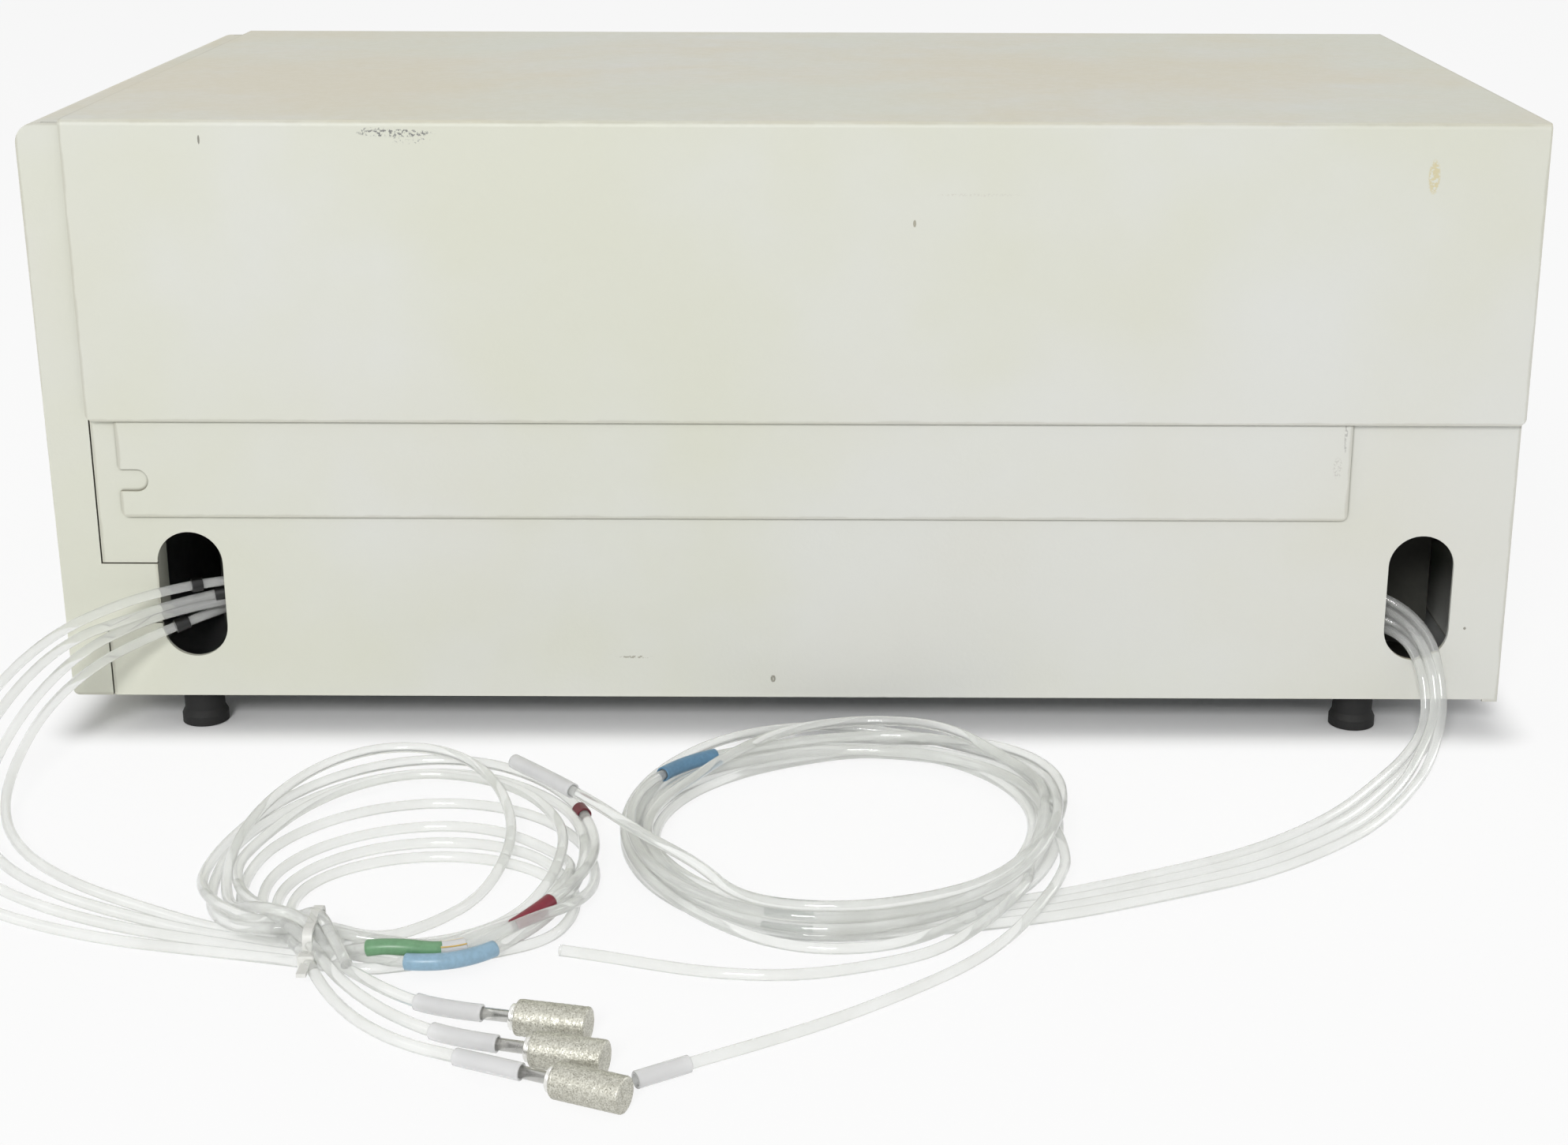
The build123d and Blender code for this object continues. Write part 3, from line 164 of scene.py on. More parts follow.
def mathNode(tree, operation, a, b=0.0, c=0.0):
    node = tree.nodes.new("ShaderNodeMath")
    node.operation = operation
    for socket, value in zip(node.inputs, (a, b, c)):
        feed(tree, socket, value)
    return node.outputs[0]


def stretch(tree, value, low, high, toLow=0.0, toHigh=1.0):
    # smooth step of a value between two limits
    node = tree.nodes.new("ShaderNodeMapRange")
    node.interpolation_type = "SMOOTHSTEP"
    for socket, given in zip(node.inputs, (value, low, high, toLow, toHigh)):
        feed(tree, socket, given)
    return node.outputs[0]


def blendColour(tree, share, a, b):
    node = tree.nodes.new("ShaderNodeMix")
    node.data_type = "RGBA"
    feed(tree, node.inputs[0], share)
    feed(tree, node.inputs[6], a)
    feed(tree, node.inputs[7], b)
    return node.outputs[2]


def noiseNode(tree, vector, scale, detail, rough):
    node = tree.nodes.new("ShaderNodeTexNoise")
    feed(tree, node.inputs["Vector"], vector)
    feed(tree, node.inputs["Scale"], scale)
    feed(tree, node.inputs["Detail"], detail)
    feed(tree, node.inputs["Roughness"], rough)
    return node.outputs[0]


def shade(r, g, b):
    # linear colour from values of 0-255 on a screen
    c = np.array([r, g, b]) / 255
    linear = np.where(c <= 0.04045, c / 12.92, ((c + 0.055) / 1.055) ** 2.4)
    return (*linear.tolist(), 1.0)


def newGroup(name, inputs, outputs):
    group = bpy.data.node_groups.new(name, "ShaderNodeTree")
    for label, kind in inputs:
        group.interface.new_socket(name=label, in_out="INPUT", socket_type=kind)
    for label, kind in outputs:
        group.interface.new_socket(name=label, in_out="OUTPUT", socket_type=kind)
    return group, group.nodes.new("NodeGroupInput").outputs, group.nodes.new("NodeGroupOutput").inputs


def useGroup(tree, group, **values):
    node = tree.nodes.new("ShaderNodeGroup")
    node.node_tree = group
    for label, value in values.items():
        feed(tree, node.inputs[label], value)
    return node.outputs


number, vector = "NodeSocketFloat", "NodeSocketVector"

groupLook = {  # noises: detail and roughness
    "spotNoise": (4.0, 0.65),
    "spotRim": (1.1, 0.8),  # shares of the half size where a spot starts and is full
    "fleckEdge": 0.06,
    "edgeNoise": (5.0, 0.6),
    "edgeSharp": 0.3,
    "grainNoise": (2.0, 0.5),
    "grainBroad": 0.31,  # scale of the broad grain as a share of the fine one
    "grainSpan": (0.35, 0.65),
    "dustNoise": (5.0, 0.6),
    "dustSpan": (0.3, 0.62),
    "dustSlope": (0.3, 0.95),  # upward part of the normal where dust starts and is full
}


def vectorNode(tree, operation, a, b=None):
    node = tree.nodes.new("ShaderNodeVectorMath")
    node.operation = operation
    feed(tree, node.inputs[0], a)
    if b is not None:
        feed(tree, node.inputs[1], b)
    return node.outputs["Value" if operation == "LENGTH" else "Vector"]


def makeSpotGroup():
    # 1 inside an ellipsoid whose rim is ragged by noise, and holds flecks of its own
    group, given, out = newGroup("spot", [("Vector", vector), ("Centre", vector), ("Size", vector),
                                          ("Ragged", number), ("Grain", number), ("Cover", number)],
                                 [("Mask", number)])
    away = vectorNode(group, "SUBTRACT", given["Vector"], given["Centre"])
    length = vectorNode(group, "LENGTH", vectorNode(group, "DIVIDE", away, given["Size"]))
    grain = noiseNode(group, given["Vector"], given["Grain"], *groupLook["spotNoise"])
    shift = mathNode(group, "MULTIPLY", mathNode(group, "SUBTRACT", grain, 0.5), given["Ragged"])
    rim = stretch(group, mathNode(group, "ADD", length, shift), *groupLook["spotRim"])
    flecks = stretch(group, grain, mathNode(group, "SUBTRACT", 1.0, given["Cover"]),
                     mathNode(group, "SUBTRACT", 1.0 + groupLook["fleckEdge"], given["Cover"]))
    feed(group, out["Mask"], mathNode(group, "MULTIPLY", rim, flecks))
    return group


def makeEdgeGroup():
    # 1 along the edges of a box, where the second smallest distance to its pairs of faces is small
    group, given, out = newGroup("edgeWear", [("Vector", vector), ("Low", vector), ("High", vector),
                                              ("Width", number), ("Grain", number)],
                                 [("Mask", number)])
    nearest = vectorNode(group, "MINIMUM", vectorNode(group, "SUBTRACT", given["Vector"], given["Low"]),
                         vectorNode(group, "SUBTRACT", given["High"], given["Vector"]))
    split = group.nodes.new("ShaderNodeSeparateXYZ")
    feed(group, split.inputs[0], nearest)
    x, y, z = split.outputs
    second = mathNode(group, "MAXIMUM", mathNode(group, "MINIMUM", x, y),
                      mathNode(group, "MINIMUM", mathNode(group, "MAXIMUM", x, y), z))
    grain = noiseNode(group, given["Vector"], given["Grain"], *groupLook["edgeNoise"])
    reach = mathNode(group, "MULTIPLY", given["Width"], mathNode(group, "MULTIPLY", grain, 2.0))
    full = mathNode(group, "MULTIPLY", reach, groupLook["edgeSharp"])
    feed(group, out["Mask"], stretch(group, second, reach, full))
    return group


def makeGrainGroup():
    # fine even grain, as a height and as a share
    group, given, out = newGroup("grain", [("Vector", vector), ("Scale", number), ("Soft", number)],
                                 [("Height", number), ("Share", number)])
    fine = noiseNode(group, given["Vector"], given["Scale"], *groupLook["grainNoise"])
    broadScale = mathNode(group, "MULTIPLY", given["Scale"], groupLook["grainBroad"])
    broad = noiseNode(group, given["Vector"], broadScale, *groupLook["grainNoise"])
    sharp = mathNode(group, "SUBTRACT", 1.0, given["Soft"])
    mixed = mathNode(group, "ADD", mathNode(group, "MULTIPLY", fine, sharp),
                     mathNode(group, "MULTIPLY", broad, given["Soft"]))
    feed(group, out["Height"], mixed)
    feed(group, out["Share"], stretch(group, mixed, *groupLook["grainSpan"]))
    return group


def makeDustGroup():
    # thin settled dust: on faces that look up, broken by noise
    group, given, out = newGroup("dust", [("Vector", vector), ("Amount", number), ("Grain", number)],
                                 [("Mask", number)])
    facing = group.nodes.new("ShaderNodeNewGeometry").outputs["Normal"]
    split = group.nodes.new("ShaderNodeSeparateXYZ")
    feed(group, split.inputs[0], facing)
    up = stretch(group, split.outputs[2], *groupLook["dustSlope"])
    grain = noiseNode(group, given["Vector"], given["Grain"], *groupLook["dustNoise"])
    settled = mathNode(group, "MULTIPLY", up, stretch(group, grain, *groupLook["dustSpan"]))
    feed(group, out["Mask"], mathNode(group, "MULTIPLY", settled, given["Amount"]))
    return group


spotGroup = makeSpotGroup()
edgeGroup = makeEdgeGroup()
grainGroup = makeGrainGroup()
dustGroup = makeDustGroup()


def startMaterial(name, roughness, metallic=0.0):
    material = bpy.data.materials.new(name)
    material.use_nodes = True
    tree = material.node_tree
    surface = tree.nodes["Principled BSDF"]
    surface.inputs["Roughness"].default_value = roughness
    surface.inputs["Metallic"].default_value = metallic
    coordinate = tree.nodes.new("ShaderNodeTexCoord").outputs["Object"]
    return material, tree, surface, coordinate


def patches(tree, where, scale, detail, rough, low, high, most=1.0):
    # broad soft patches of noise, 0 to most
    return stretch(tree, noiseNode(tree, where, scale, detail, rough), low, high, 0.0, most)


def addBump(tree, surface, height, distance, strength=1.0):
    bump = tree.nodes.new("ShaderNodeBump")
    bump.inputs["Strength"].default_value = strength
    bump.inputs["Distance"].default_value = distance
    feed(tree, bump.inputs["Height"], height)
    tree.links.new(bump.outputs[0], surface.inputs["Normal"])


# ---- paint of the case

paint = {
    "warm": shade(219, 220, 205),
    "cool": shade(223, 224, 219),
    "yellowed": shade(216, 212, 194),
    "dusty": shade(220, 212, 186),
    "grime": shade(150, 143, 122),
    # colour of the painted shade laid where two sheets meet, in place of contact shadow
    "seam": shade(126, 123, 108),
    # patches: noise per metre, detail, roughness, where they start and are full
    "cloud": (5.5, 4.0, 0.55, 0.36, 0.64),
    "aged": (7.0, 3.0, 0.5, 0.45, 0.85),
    "agedShare": 0.35,
    "edge": {"Width": 0.0011, "Grain": 90.0},
    "edgeShare": 0.28,
    "dust": {"Amount": 0.8, "Grain": 6.0},
    "seamReach": 1.6 * mm,
    "seamSamples": 8,
    "seamSpan": (0.86, 0.52),  # openness of a corner where its painted shade starts and is full
    "seamShare": 0.9,
    "peel": {"Scale": 620.0, "Soft": 0.45},
    "peelDepth": 0.00011,
    "peelStrength": 0.8,
    "roughness": 0.42,
    "roughnessSpan": 0.1,
}

# marks on the slotted side: centre x, z and half sizes in mm, colour, ragged rim, grain per metre, cover
coverMarks = [
    ((-120.5, 198.6), (12.5, 1.3), shade(128, 129, 126), 0.8, 900.0, 0.50),
    ((-116.0, 196.6), (7.0, 1.5), shade(160, 160, 156), 0.9, 1100.0, 0.44),
    ((-127.0, 199.6), (5.0, 0.8), shade(120, 121, 118), 0.8, 1200.0, 0.46),
    ((-181.0, 196.4), (0.35, 1.5), shade(140, 138, 128), 0.5, 1500.0, 0.75),
    ((200.5, 186.0), (1.9, 5.5), shade(214, 205, 168), 1.0, 700.0, 0.55),
    ((60.0, 180.0), (14.0, 0.5), shade(212, 211, 200), 0.8, 1600.0, 0.5),
    ((40.0, 171.0), (0.5, 1.2), shade(170, 166, 150), 0.5, 1800.0, 0.7),
]
panelMarks = [
    ((-5.0, 18.5), (0.9, 1.3), shade(150, 148, 136), 0.7, 1500.0, 0.62),
    ((-50.0, 26.0), (6.0, 0.5), shade(172, 170, 156), 0.8, 900.0, 0.52),
    ((222.5, 37.0), (0.5, 0.5), shade(150, 148, 136), 0.6, 1500.0, 0.8),
]
plateMarks = [
    ((-196.0, 126.5), (1.5, 0.4), shade(128, 126, 116), 0.5, 1600.0, 0.8),
    ((176.5, 116.0), (0.8, 6.0), shade(196, 195, 190), 0.6, 900.0, 0.6),
    ((179.0, 104.0), (0.5, 8.0), shade(188, 187, 182), 0.6, 1100.0, 0.55),
    ((177.0, 92.0), (1.6, 4.0), shade(206, 205, 198), 0.9, 1300.0, 0.5),
]
markDepth = 6 * mm  # how far a mark reaches into the sheet


def makePaint(name, node, marks=()):
    span = paint["roughnessSpan"]
    material, tree, surface, where = startMaterial(name, paint["roughness"] + span / 2)
    cloud = patches(tree, where, *paint["cloud"])
    colour = blendColour(tree, cloud, paint["warm"], paint["cool"])
    aged = patches(tree, where, *paint["aged"], paint["agedShare"])
    colour = blendColour(tree, aged, colour, paint["yellowed"])
    low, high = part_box(node)
    worn = useGroup(tree, edgeGroup, Vector=where, Low=tuple(low), High=tuple(high), **paint["edge"])
    worn = mathNode(tree, "MULTIPLY", worn["Mask"], paint["edgeShare"])
    colour = blendColour(tree, worn, colour, paint["grime"])
    for (x, z), (halfX, halfZ), tint, ragged, grain, cover in marks:
        mask = useGroup(tree, spotGroup, Vector=where, Centre=(x * mm, low.y, z * mm),
                        Size=(halfX * mm, markDepth, halfZ * mm), Ragged=ragged, Grain=grain,
                        Cover=cover)["Mask"]
        colour = blendColour(tree, mask, colour, tint)
    dust = useGroup(tree, dustGroup, Vector=where, **paint["dust"])["Mask"]
    colour = blendColour(tree, dust, colour, paint["dusty"])
    # painted shade: the colour darkens where two sheets meet and little light gets in, in place of contact
    # shadow
    corner = tree.nodes.new("ShaderNodeAmbientOcclusion")
    corner.samples = paint["seamSamples"]
    corner.inputs["Distance"].default_value = paint["seamReach"]
    closed = stretch(tree, corner.outputs["AO"], *paint["seamSpan"], 0.0, paint["seamShare"])
    colour = blendColour(tree, closed, colour, paint["seam"])
    feed(tree, surface.inputs["Base Color"], colour)
    peel = useGroup(tree, grainGroup, Vector=where, **paint["peel"])
    feed(tree, surface.inputs["Roughness"],
         mathNode(tree, "MULTIPLY_ADD", peel["Share"], span, paint["roughness"]))
    addBump(tree, surface, peel["Height"], paint["peelDepth"], paint["peelStrength"])
    return material


# ---- plain finishes: base colour, second colour, metallic, roughness, grain per metre, bump depth

finishes = {
    "zinc": (shade(182, 184, 183), shade(160, 163, 164), 0.45, 0.4, 130.0, 0.00002),
    "blackSheet": (shade(58, 58, 53), shade(70, 70, 64), 0.0, 0.5, 500.0, 0.00005),
    "steel": (shade(196, 195, 190), shade(160, 158, 152), 1.0, 0.28, 700.0, 0.00001),
    # stem steel: a brighter copy of the steel above, whose raised base colour paints in reflection that the
    # lamps alone don't give the stems
    "stemSteelPaintedReflection": (shade(244, 244, 240), shade(226, 225, 220), 1.0, 0.14, 700.0, 0.000004),
    "rubber": (shade(15, 15, 15), shade(27, 27, 26), 0.0, 0.72, 900.0, 0.00006),
    "blackPlastic": (shade(22, 22, 23), shade(34, 34, 35), 0.0, 0.38, 800.0, 0.00003),
    "rockerPlastic": (shade(30, 30, 31), shade(38, 38, 39), 0.0, 0.3, 900.0, 0.00001),
    "chamberPlastic": (shade(206, 205, 197), shade(190, 189, 180), 0.0, 0.4, 300.0, 0.00003),
    "hoseRubber": (shade(58, 60, 60), shade(44, 45, 45), 0.0, 0.55, 600.0, 0.00002),
    "pumpPlastic": (shade(52, 54, 58), shade(40, 42, 45), 0.0, 0.45, 500.0, 0.00003),
    "motorSteel": (shade(170, 170, 168), shade(140, 140, 138), 1.0, 0.33, 350.0, 0.00001),
    "boardGreen": (shade(32, 96, 62), shade(24, 76, 50), 0.0, 0.35, 700.0, 0.00001),
    "chipBlack": (shade(30, 30, 32), shade(44, 44, 46), 0.0, 0.45, 900.0, 0.00001),
    "brass": (shade(204, 172, 104), shade(168, 136, 76), 1.0, 0.3, 600.0, 0.00001),
    "canSteel": (shade(188, 190, 190), shade(168, 170, 170), 0.9, 0.36, 160.0, 0.00002),
    "nylon": (shade(236, 236, 232), shade(224, 224, 218), 0.0, 0.34, 900.0, 0.00002),
}


finishLook = {
    "soft": 0.4,
    "patchScale": 0.06,  # noise of the patches as a share of the grain's
    "patch": (3.0, 0.5, 0.4, 0.65),
    "patchShare": 0.6,
    "dust": {"Amount": 0.12, "Grain": 60.0},
    "dustColour": shade(150, 146, 136),
    "roughnessSpan": 0.14,
}


def makeFinish(name):
    look = finishLook
    first, second, metallic, roughness, scale, depth = finishes[name]
    material, tree, surface, where = startMaterial(name, roughness, metallic)
    grain = useGroup(tree, grainGroup, Vector=where, Scale=scale, Soft=look["soft"])
    patch = patches(tree, where, scale * look["patchScale"], *look["patch"])
    patch = mathNode(tree, "MULTIPLY", patch, look["patchShare"])
    mixed = mathNode(tree, "MULTIPLY_ADD", grain["Share"], 1 - look["patchShare"], patch)
    colour = blendColour(tree, mixed, first, second)
    dust = useGroup(tree, dustGroup, Vector=where, **look["dust"])["Mask"]
    colour = blendColour(tree, dust, colour, look["dustColour"])
    feed(tree, surface.inputs["Base Color"], colour)
    feed(tree, surface.inputs["Roughness"],
         mathNode(tree, "MULTIPLY_ADD", mixed, look["roughnessSpan"], roughness))
    addBump(tree, surface, grain["Height"], depth)
    return material


tubeGlass = {
    "colour": shade(250, 251, 249),
    "cloudy": shade(244, 245, 242),
    "roughness": 0.16,
    "transmission": 0.74,
    "refraction": 1.25,
    "skin": 0.7,  # weight of the glossy coat
    "cloud": (45.0, 4.0, 0.6, 0.35, 0.7),
    "roughnessSpan": 0.08,
}
sleeveGlass = {**tubeGlass, "colour": shade(249, 249, 249), "cloudy": shade(243, 243, 244),
               "transmission": 0.42}
lampGlass = {**tubeGlass, "colour": shade(150, 176, 150), "cloudy": shade(120, 150, 124)}


def makeClear(name, look):
    # milky clear plastic: part of the light goes through, part comes back from the wall
    material, tree, surface, where = startMaterial(name, look["roughness"])
    cloud = patches(tree, where, *look["cloud"])
    feed(tree, surface.inputs["Base Color"], blendColour(tree, cloud, look["colour"], look["cloudy"]))
    surface.inputs["Transmission Weight"].default_value = look["transmission"]
    surface.inputs["IOR"].default_value = look["refraction"]
    surface.inputs["Coat Weight"].default_value = look["skin"]
    feed(tree, surface.inputs["Roughness"],
         mathNode(tree, "MULTIPLY_ADD", cloud, look["roughnessSpan"], look["roughness"]))
    return material


def setNodes(material, *names):
    for name in names:
        mesh = nodes[name].data
        if not mesh.materials:
            mesh.materials.append(material)
        for slot in nodes[name].material_slots:
            slot.material = material


makeCamera(cameraLook)
makeWorld(studio)
makeLamps(studio)
makeFloor(studio)
print("studio ready")


# ---- tube lines: chosen points in mm, with the coils' turns worked out between lead and tail

lineLook = {"radius": 1.5875 * mm, "smooth": 12, "sides": 6}

inletLeads = [
    [(-170, -87.3, 40), (-170, -105, 41), (-185, -120, 41), (-205, -132, 36), (-223, -143, 29.6),
     (-236, -159, 20), (-241, -180, 8.5), (-237, -204, 3), (-224, -228, 1.7), (-203, -249, 1.8),
     (-176, -265, 1.7), (-149, -277, 2.2)],
    [(-156, -87.3, 46), (-156, -103, 46), (-166, -115, 45.2), (-179, -121, 44.4),
     (-193.5, -126.8, 43.4), (-209, -136, 41.5), (-227, -148, 35), (-240, -165, 23), (-246, -187, 10),
     (-242, -211, 3.5), (-229, -235, 1.8), (-206, -256, 1.7), (-178, -271, 1.8), (-150, -281.5, 2.2)],
    [(-142, -87.3, 52), (-142, -102.5, 52), (-152, -113.5, 50.6), (-165, -119, 48.8),
     (-180, -121.5, 47.3), (-196, -127, 45.6), (-212, -138, 43.2), (-230, -152, 40), (-244, -171, 28),
     (-251, -194, 13), (-248, -219, 4), (-234, -243, 1.7), (-210, -263, 1.9), (-181, -277, 1.7),
     (-151, -286, 2.2)],
    [(-128, -87.3, 58), (-128, -102, 58), (-138.5, -112.5, 56.4), (-151.5, -117.5, 54.6),
     (-165.5, -119.3, 52.6), (-181, -122, 51), (-198, -129, 50.6), (-216, -141, 48.6),
     (-234, -156, 43), (-248, -176, 31), (-256, -201, 15), (-254, -227, 4.5), (-240, -252, 1.7),
     (-215, -271, 1.8), (-184, -284, 1.7), (-152, -291, 2.3)],
]
inletTails = [
    [(-117.5, -299, 6.0), (-109, -309, 4.4), (-98, -319.5, 4.6), (-86, -327.1, 4.65),
     (-74.3, -329.7, 4.65)],
    [(-118.5, -302, 5.2), (-110.5, -314, 3.2), (-97.5, -329, 3.8), (-81, -342, 4.65),
     (-68.3, -345.3, 4.65)],
    [(-120.5, -305, 4.4), (-114.5, -316.5, 2.2), (-104.5, -331.5, 2.6), (-91, -345, 4.2),
     (-74.5, -352.9, 4.65), (-60.6, -358.7, 4.65)],
    [(-117, -297.5, 8.6), (-112, -307.5, 6.6)],
]
outletLeads = [
    [(115, -87.3, 34), (115, -103, 34), (125, -114.5, 34.3), (138, -119.8, 35), (154, -121.3, 36),
     (170, -119.5, 36.6), (185, -118, 36.4), (197.5, -119.8, 35), (204.8, -126.5, 31.8),
     (207.9, -134.5, 24.4), (209.1, -139, 14.5), (207.1, -143.9, 6.5), (199.3, -153.9, 1.9),
     (188.7, -170.1, 1.7), (174.3, -191.1, 1.8), (160.7, -206.4, 1.7), (138, -226, 1.9),
     (110, -240.5, 1.7), (82, -253.5, 1.8), (60, -261, 2), (40, -266, 2.2)],
    [(99, -87.3, 40), (99, -103, 40), (109, -114, 39.7), (122, -118.5, 39.4), (139, -119.4, 39.3),
     (158, -118.8, 39.4), (173, -117, 39.8), (187, -116.3, 39.6), (201, -118.6, 36.6),
     (208.4, -126.2, 31), (210.5, -132.6, 23.6), (211.8, -136.9, 13.6), (210.1, -143.7, 4.6),
     (202.6, -155.8, 1.8), (191.9, -172, 1.7), (177.7, -193.7, 1.7), (163.9, -209.8, 1.8),
     (139, -230.5, 1.7), (111, -245, 1.8), (82.5, -257.8, 1.7), (60, -265.2, 2), (39, -270, 2.2)],
    [(83, -87.3, 46), (83, -102.5, 46), (93.5, -113, 45.8), (107, -116.2, 44.8), (123, -116.4, 43.9),
     (142, -115.8, 43.3), (163, -115, 43.1), (176, -113.7, 43.5), (187, -114.2, 43.1),
     (200.5, -118.5, 40.1), (207.8, -127, 34.2), (210.5, -136.2, 26.4), (211.8, -141.1, 15.7),
     (208.9, -146.3, 8.4), (203.9, -156.5, 5), (195.1, -174, 2.2), (181.3, -196.3, 1.7),
     (167.1, -213.2, 1.8), (141, -235, 1.8), (112, -249.5, 1.7), (83, -262, 1.9), (60, -269.3, 2),
     (38, -274, 2.2)],
    [(67, -87.3, 52), (67, -102, 52), (77.5, -112, 51.6), (91, -115, 51), (108, -114.9, 49.6),
     (126, -113.4, 48.4), (147, -111.5, 47.5), (167, -110.4, 47.2), (179, -110.6, 47.3),
     (190.5, -112.6, 46), (204.5, -117.6, 41), (211.8, -126.6, 33.6), (213.4, -133.8, 25.3),
     (214.5, -139, 14.5), (211.9, -146.1, 6.5), (206.7, -158.1, 2), (198.3, -175.9, 1.8),
     (184.7, -198.9, 1.7), (170.3, -216.6, 1.8), (142.5, -239.5, 1.7), (113, -254, 1.9),
     (83.5, -266.3, 1.7), (60, -273.5, 2), (37, -278, 2.2)],
]
outletTails = [
    [(83.5, -237, 8), (80, -253, 9), (74, -268, 9), (65, -282, 6), (53, -296, 2.5), (36, -312, 1.7),
     (16, -328, 1.8), (-4, -341, 1.9), (-18, -350, 2.4), (-32, -359, 2.4)],
    [(71, -256, 9), (65, -268, 9.3), (56, -279, 7), (44, -289, 3.5), (27, -298, 1.8),
     (7, -303.5, 1.7), (-14, -303, 1.8), (-33, -297.5, 1.7), (-47, -292.5, 1.7), (-58, -289.5, 1.7)],
    [(-22, -258, 15.5), (-39, -243, 17.6), (-60, -220, 18), (-82, -196, 17.5)],
    [],
]

# tied coil: each line's place (y, z) in the tie at each pass, each turn's right, back, left, front, lift
tiedCoil = {
    "tieX": -124.0,
    "perTurn": 16,
    "pull": 0.17,  # share of a turn over which it is drawn into the tie
    "rise": (0.12, 0.8),  # share of a turn where the lift starts, and how much it takes up
    "floorZ": 1.7,
    "passes": [
        [(-285.0, 3.2), (-284.5, 6.1), (-292.5, 8.8)],
        [(-288.6, 3.2), (-288.0, 6.1), (-295.8, 8.2)],
        [(-292.2, 3.2), (-291.4, 6.1), (-297.5, 6.0)],
        [(-295.8, 3.2), (-294.8, 6.1), (-289.0, 9.0)],
    ],
    "turns": [
        [(-54.0, -168.0, -166.0, -303.0, 8.0), (-79.0, -170.0, -161.0, -287.0, 13.0)],
        [(-55.5, -172.0, -164.0, -307.0, 5.0), (-62.0, -181.0, -157.0, -291.0, 9.0)],
        [(-53.0, -191.0, -155.0, -300.0, 2.5), (-59.0, -209.0, -147.0, -294.0, 3.5)],
        [(-57.0, -220.0, -142.0, -297.0, 0.5), (-60.0, -230.0, -137.0, -291.0, 1.5)],
    ],
}


def tiedTurns(look, line):
    # ellipse whose halves reach the four given lines, drawn towards the tie at both ends of each turn
    points = []
    steps = look["perTurn"]
    riseFrom, riseSpan = look["rise"]
    for turn, (right, back, left, front, lift) in enumerate(look["turns"][line]):
        centreX, centreY = (right + left) / 2, (back + front) / 2
        halfX, halfY = (right - left) / 2, (back - front) / 2
        start = math.asin((look["tieX"] - centreX) / halfX)
        startY = centreY - halfY * math.cos(start)
        (firstY, firstZ), (lastY, lastZ) = look["passes"][line][turn:turn + 2]
        share = np.arange(0 if turn == 0 else 1, steps + 1) / steps
        angle = start + 2 * math.pi * share
        near = np.clip(1 - share / look["pull"], 0, 1) ** 2
        far = np.clip(1 - (1 - share) / look["pull"], 0, 1) ** 2
        x = centreX + halfX * np.sin(angle)
        y = centreY - halfY * np.cos(angle) + near * (firstY - startY) + far * (lastY - startY)
        rise = look["floorZ"] + lift * np.sin(math.pi * np.clip((share - riseFrom) / riseSpan, 0, 1)) ** 2
        z = rise * (1 - near - far) + near * firstZ + far * lastZ
        points += np.stack([x, y, z], 1).tolist()
    return points


# round coil: lines side by side in front and piled up at both ends, each turn lying on the one below
roundCoil = {
    "centre": (19.0, -213.0),
    "perTurn": 16,
    "layer": 3.0,
    "shift": 1.7,  # sideways step of every second turn
    "shiftRate": 4,  # it takes one turn divided by this
    "ends": [622.0, 659.0, 746.0, 985.0],  # degrees from the front, clockwise from above
    "sway": [(1.3, 2, 0.4), (0.8, 3, 2.1)],  # size, waves a turn, phase, the same for every strand
    "drift": [(0.9, 0.9), (1.0, 2.3), (1.0, 4.0), (1.1, 5.2)],  # each line's own sway: size, phase
    "driftWaves": 1.7,
    "pile": [(270.0, 42.0, 0.45), (90.0, 46.0, 0.62)],  # where, how wide, how much of the spread is left
    "middle": 59.5,  # radius towards which the strands pile up
    # loose stretches of each line: degrees along it, how wide, how far out, how far up
    "loose": [
        [(205.0, 40.0, 2.5, 1.0), (560.0, 34.0, -3.0, 1.5)],
        [(476.0, 30.0, -8.5, 3.5), (548.0, 32.0, 8.0, 6.0), (330.0, 30.0, 2.0, 1.0)],
        [(150.0, 30.0, -3.5, 1.5), (372.0, 26.0, 4.0, 0.0), (600.0, 36.0, 3.0, 2.0)],
        [(190.0, 28.0, 3.0, 0.0), (362.0, 30.0, 7.5, -3.0), (520.0, 34.0, 5.5, 3.0),
         (700.0, 30.0, -4.5, 0.0), (880.0, 36.0, -6.0, 0.0)],
    ],
    # height at each line's end, and the degrees over which it gets there
    "lastZ": [(9.0, 150.0), (9.0, 140.0), (12.0, 120.0), (9.0, 200.0)],
    "growth": 1.02,  # the line's spline runs this much inside its points
}


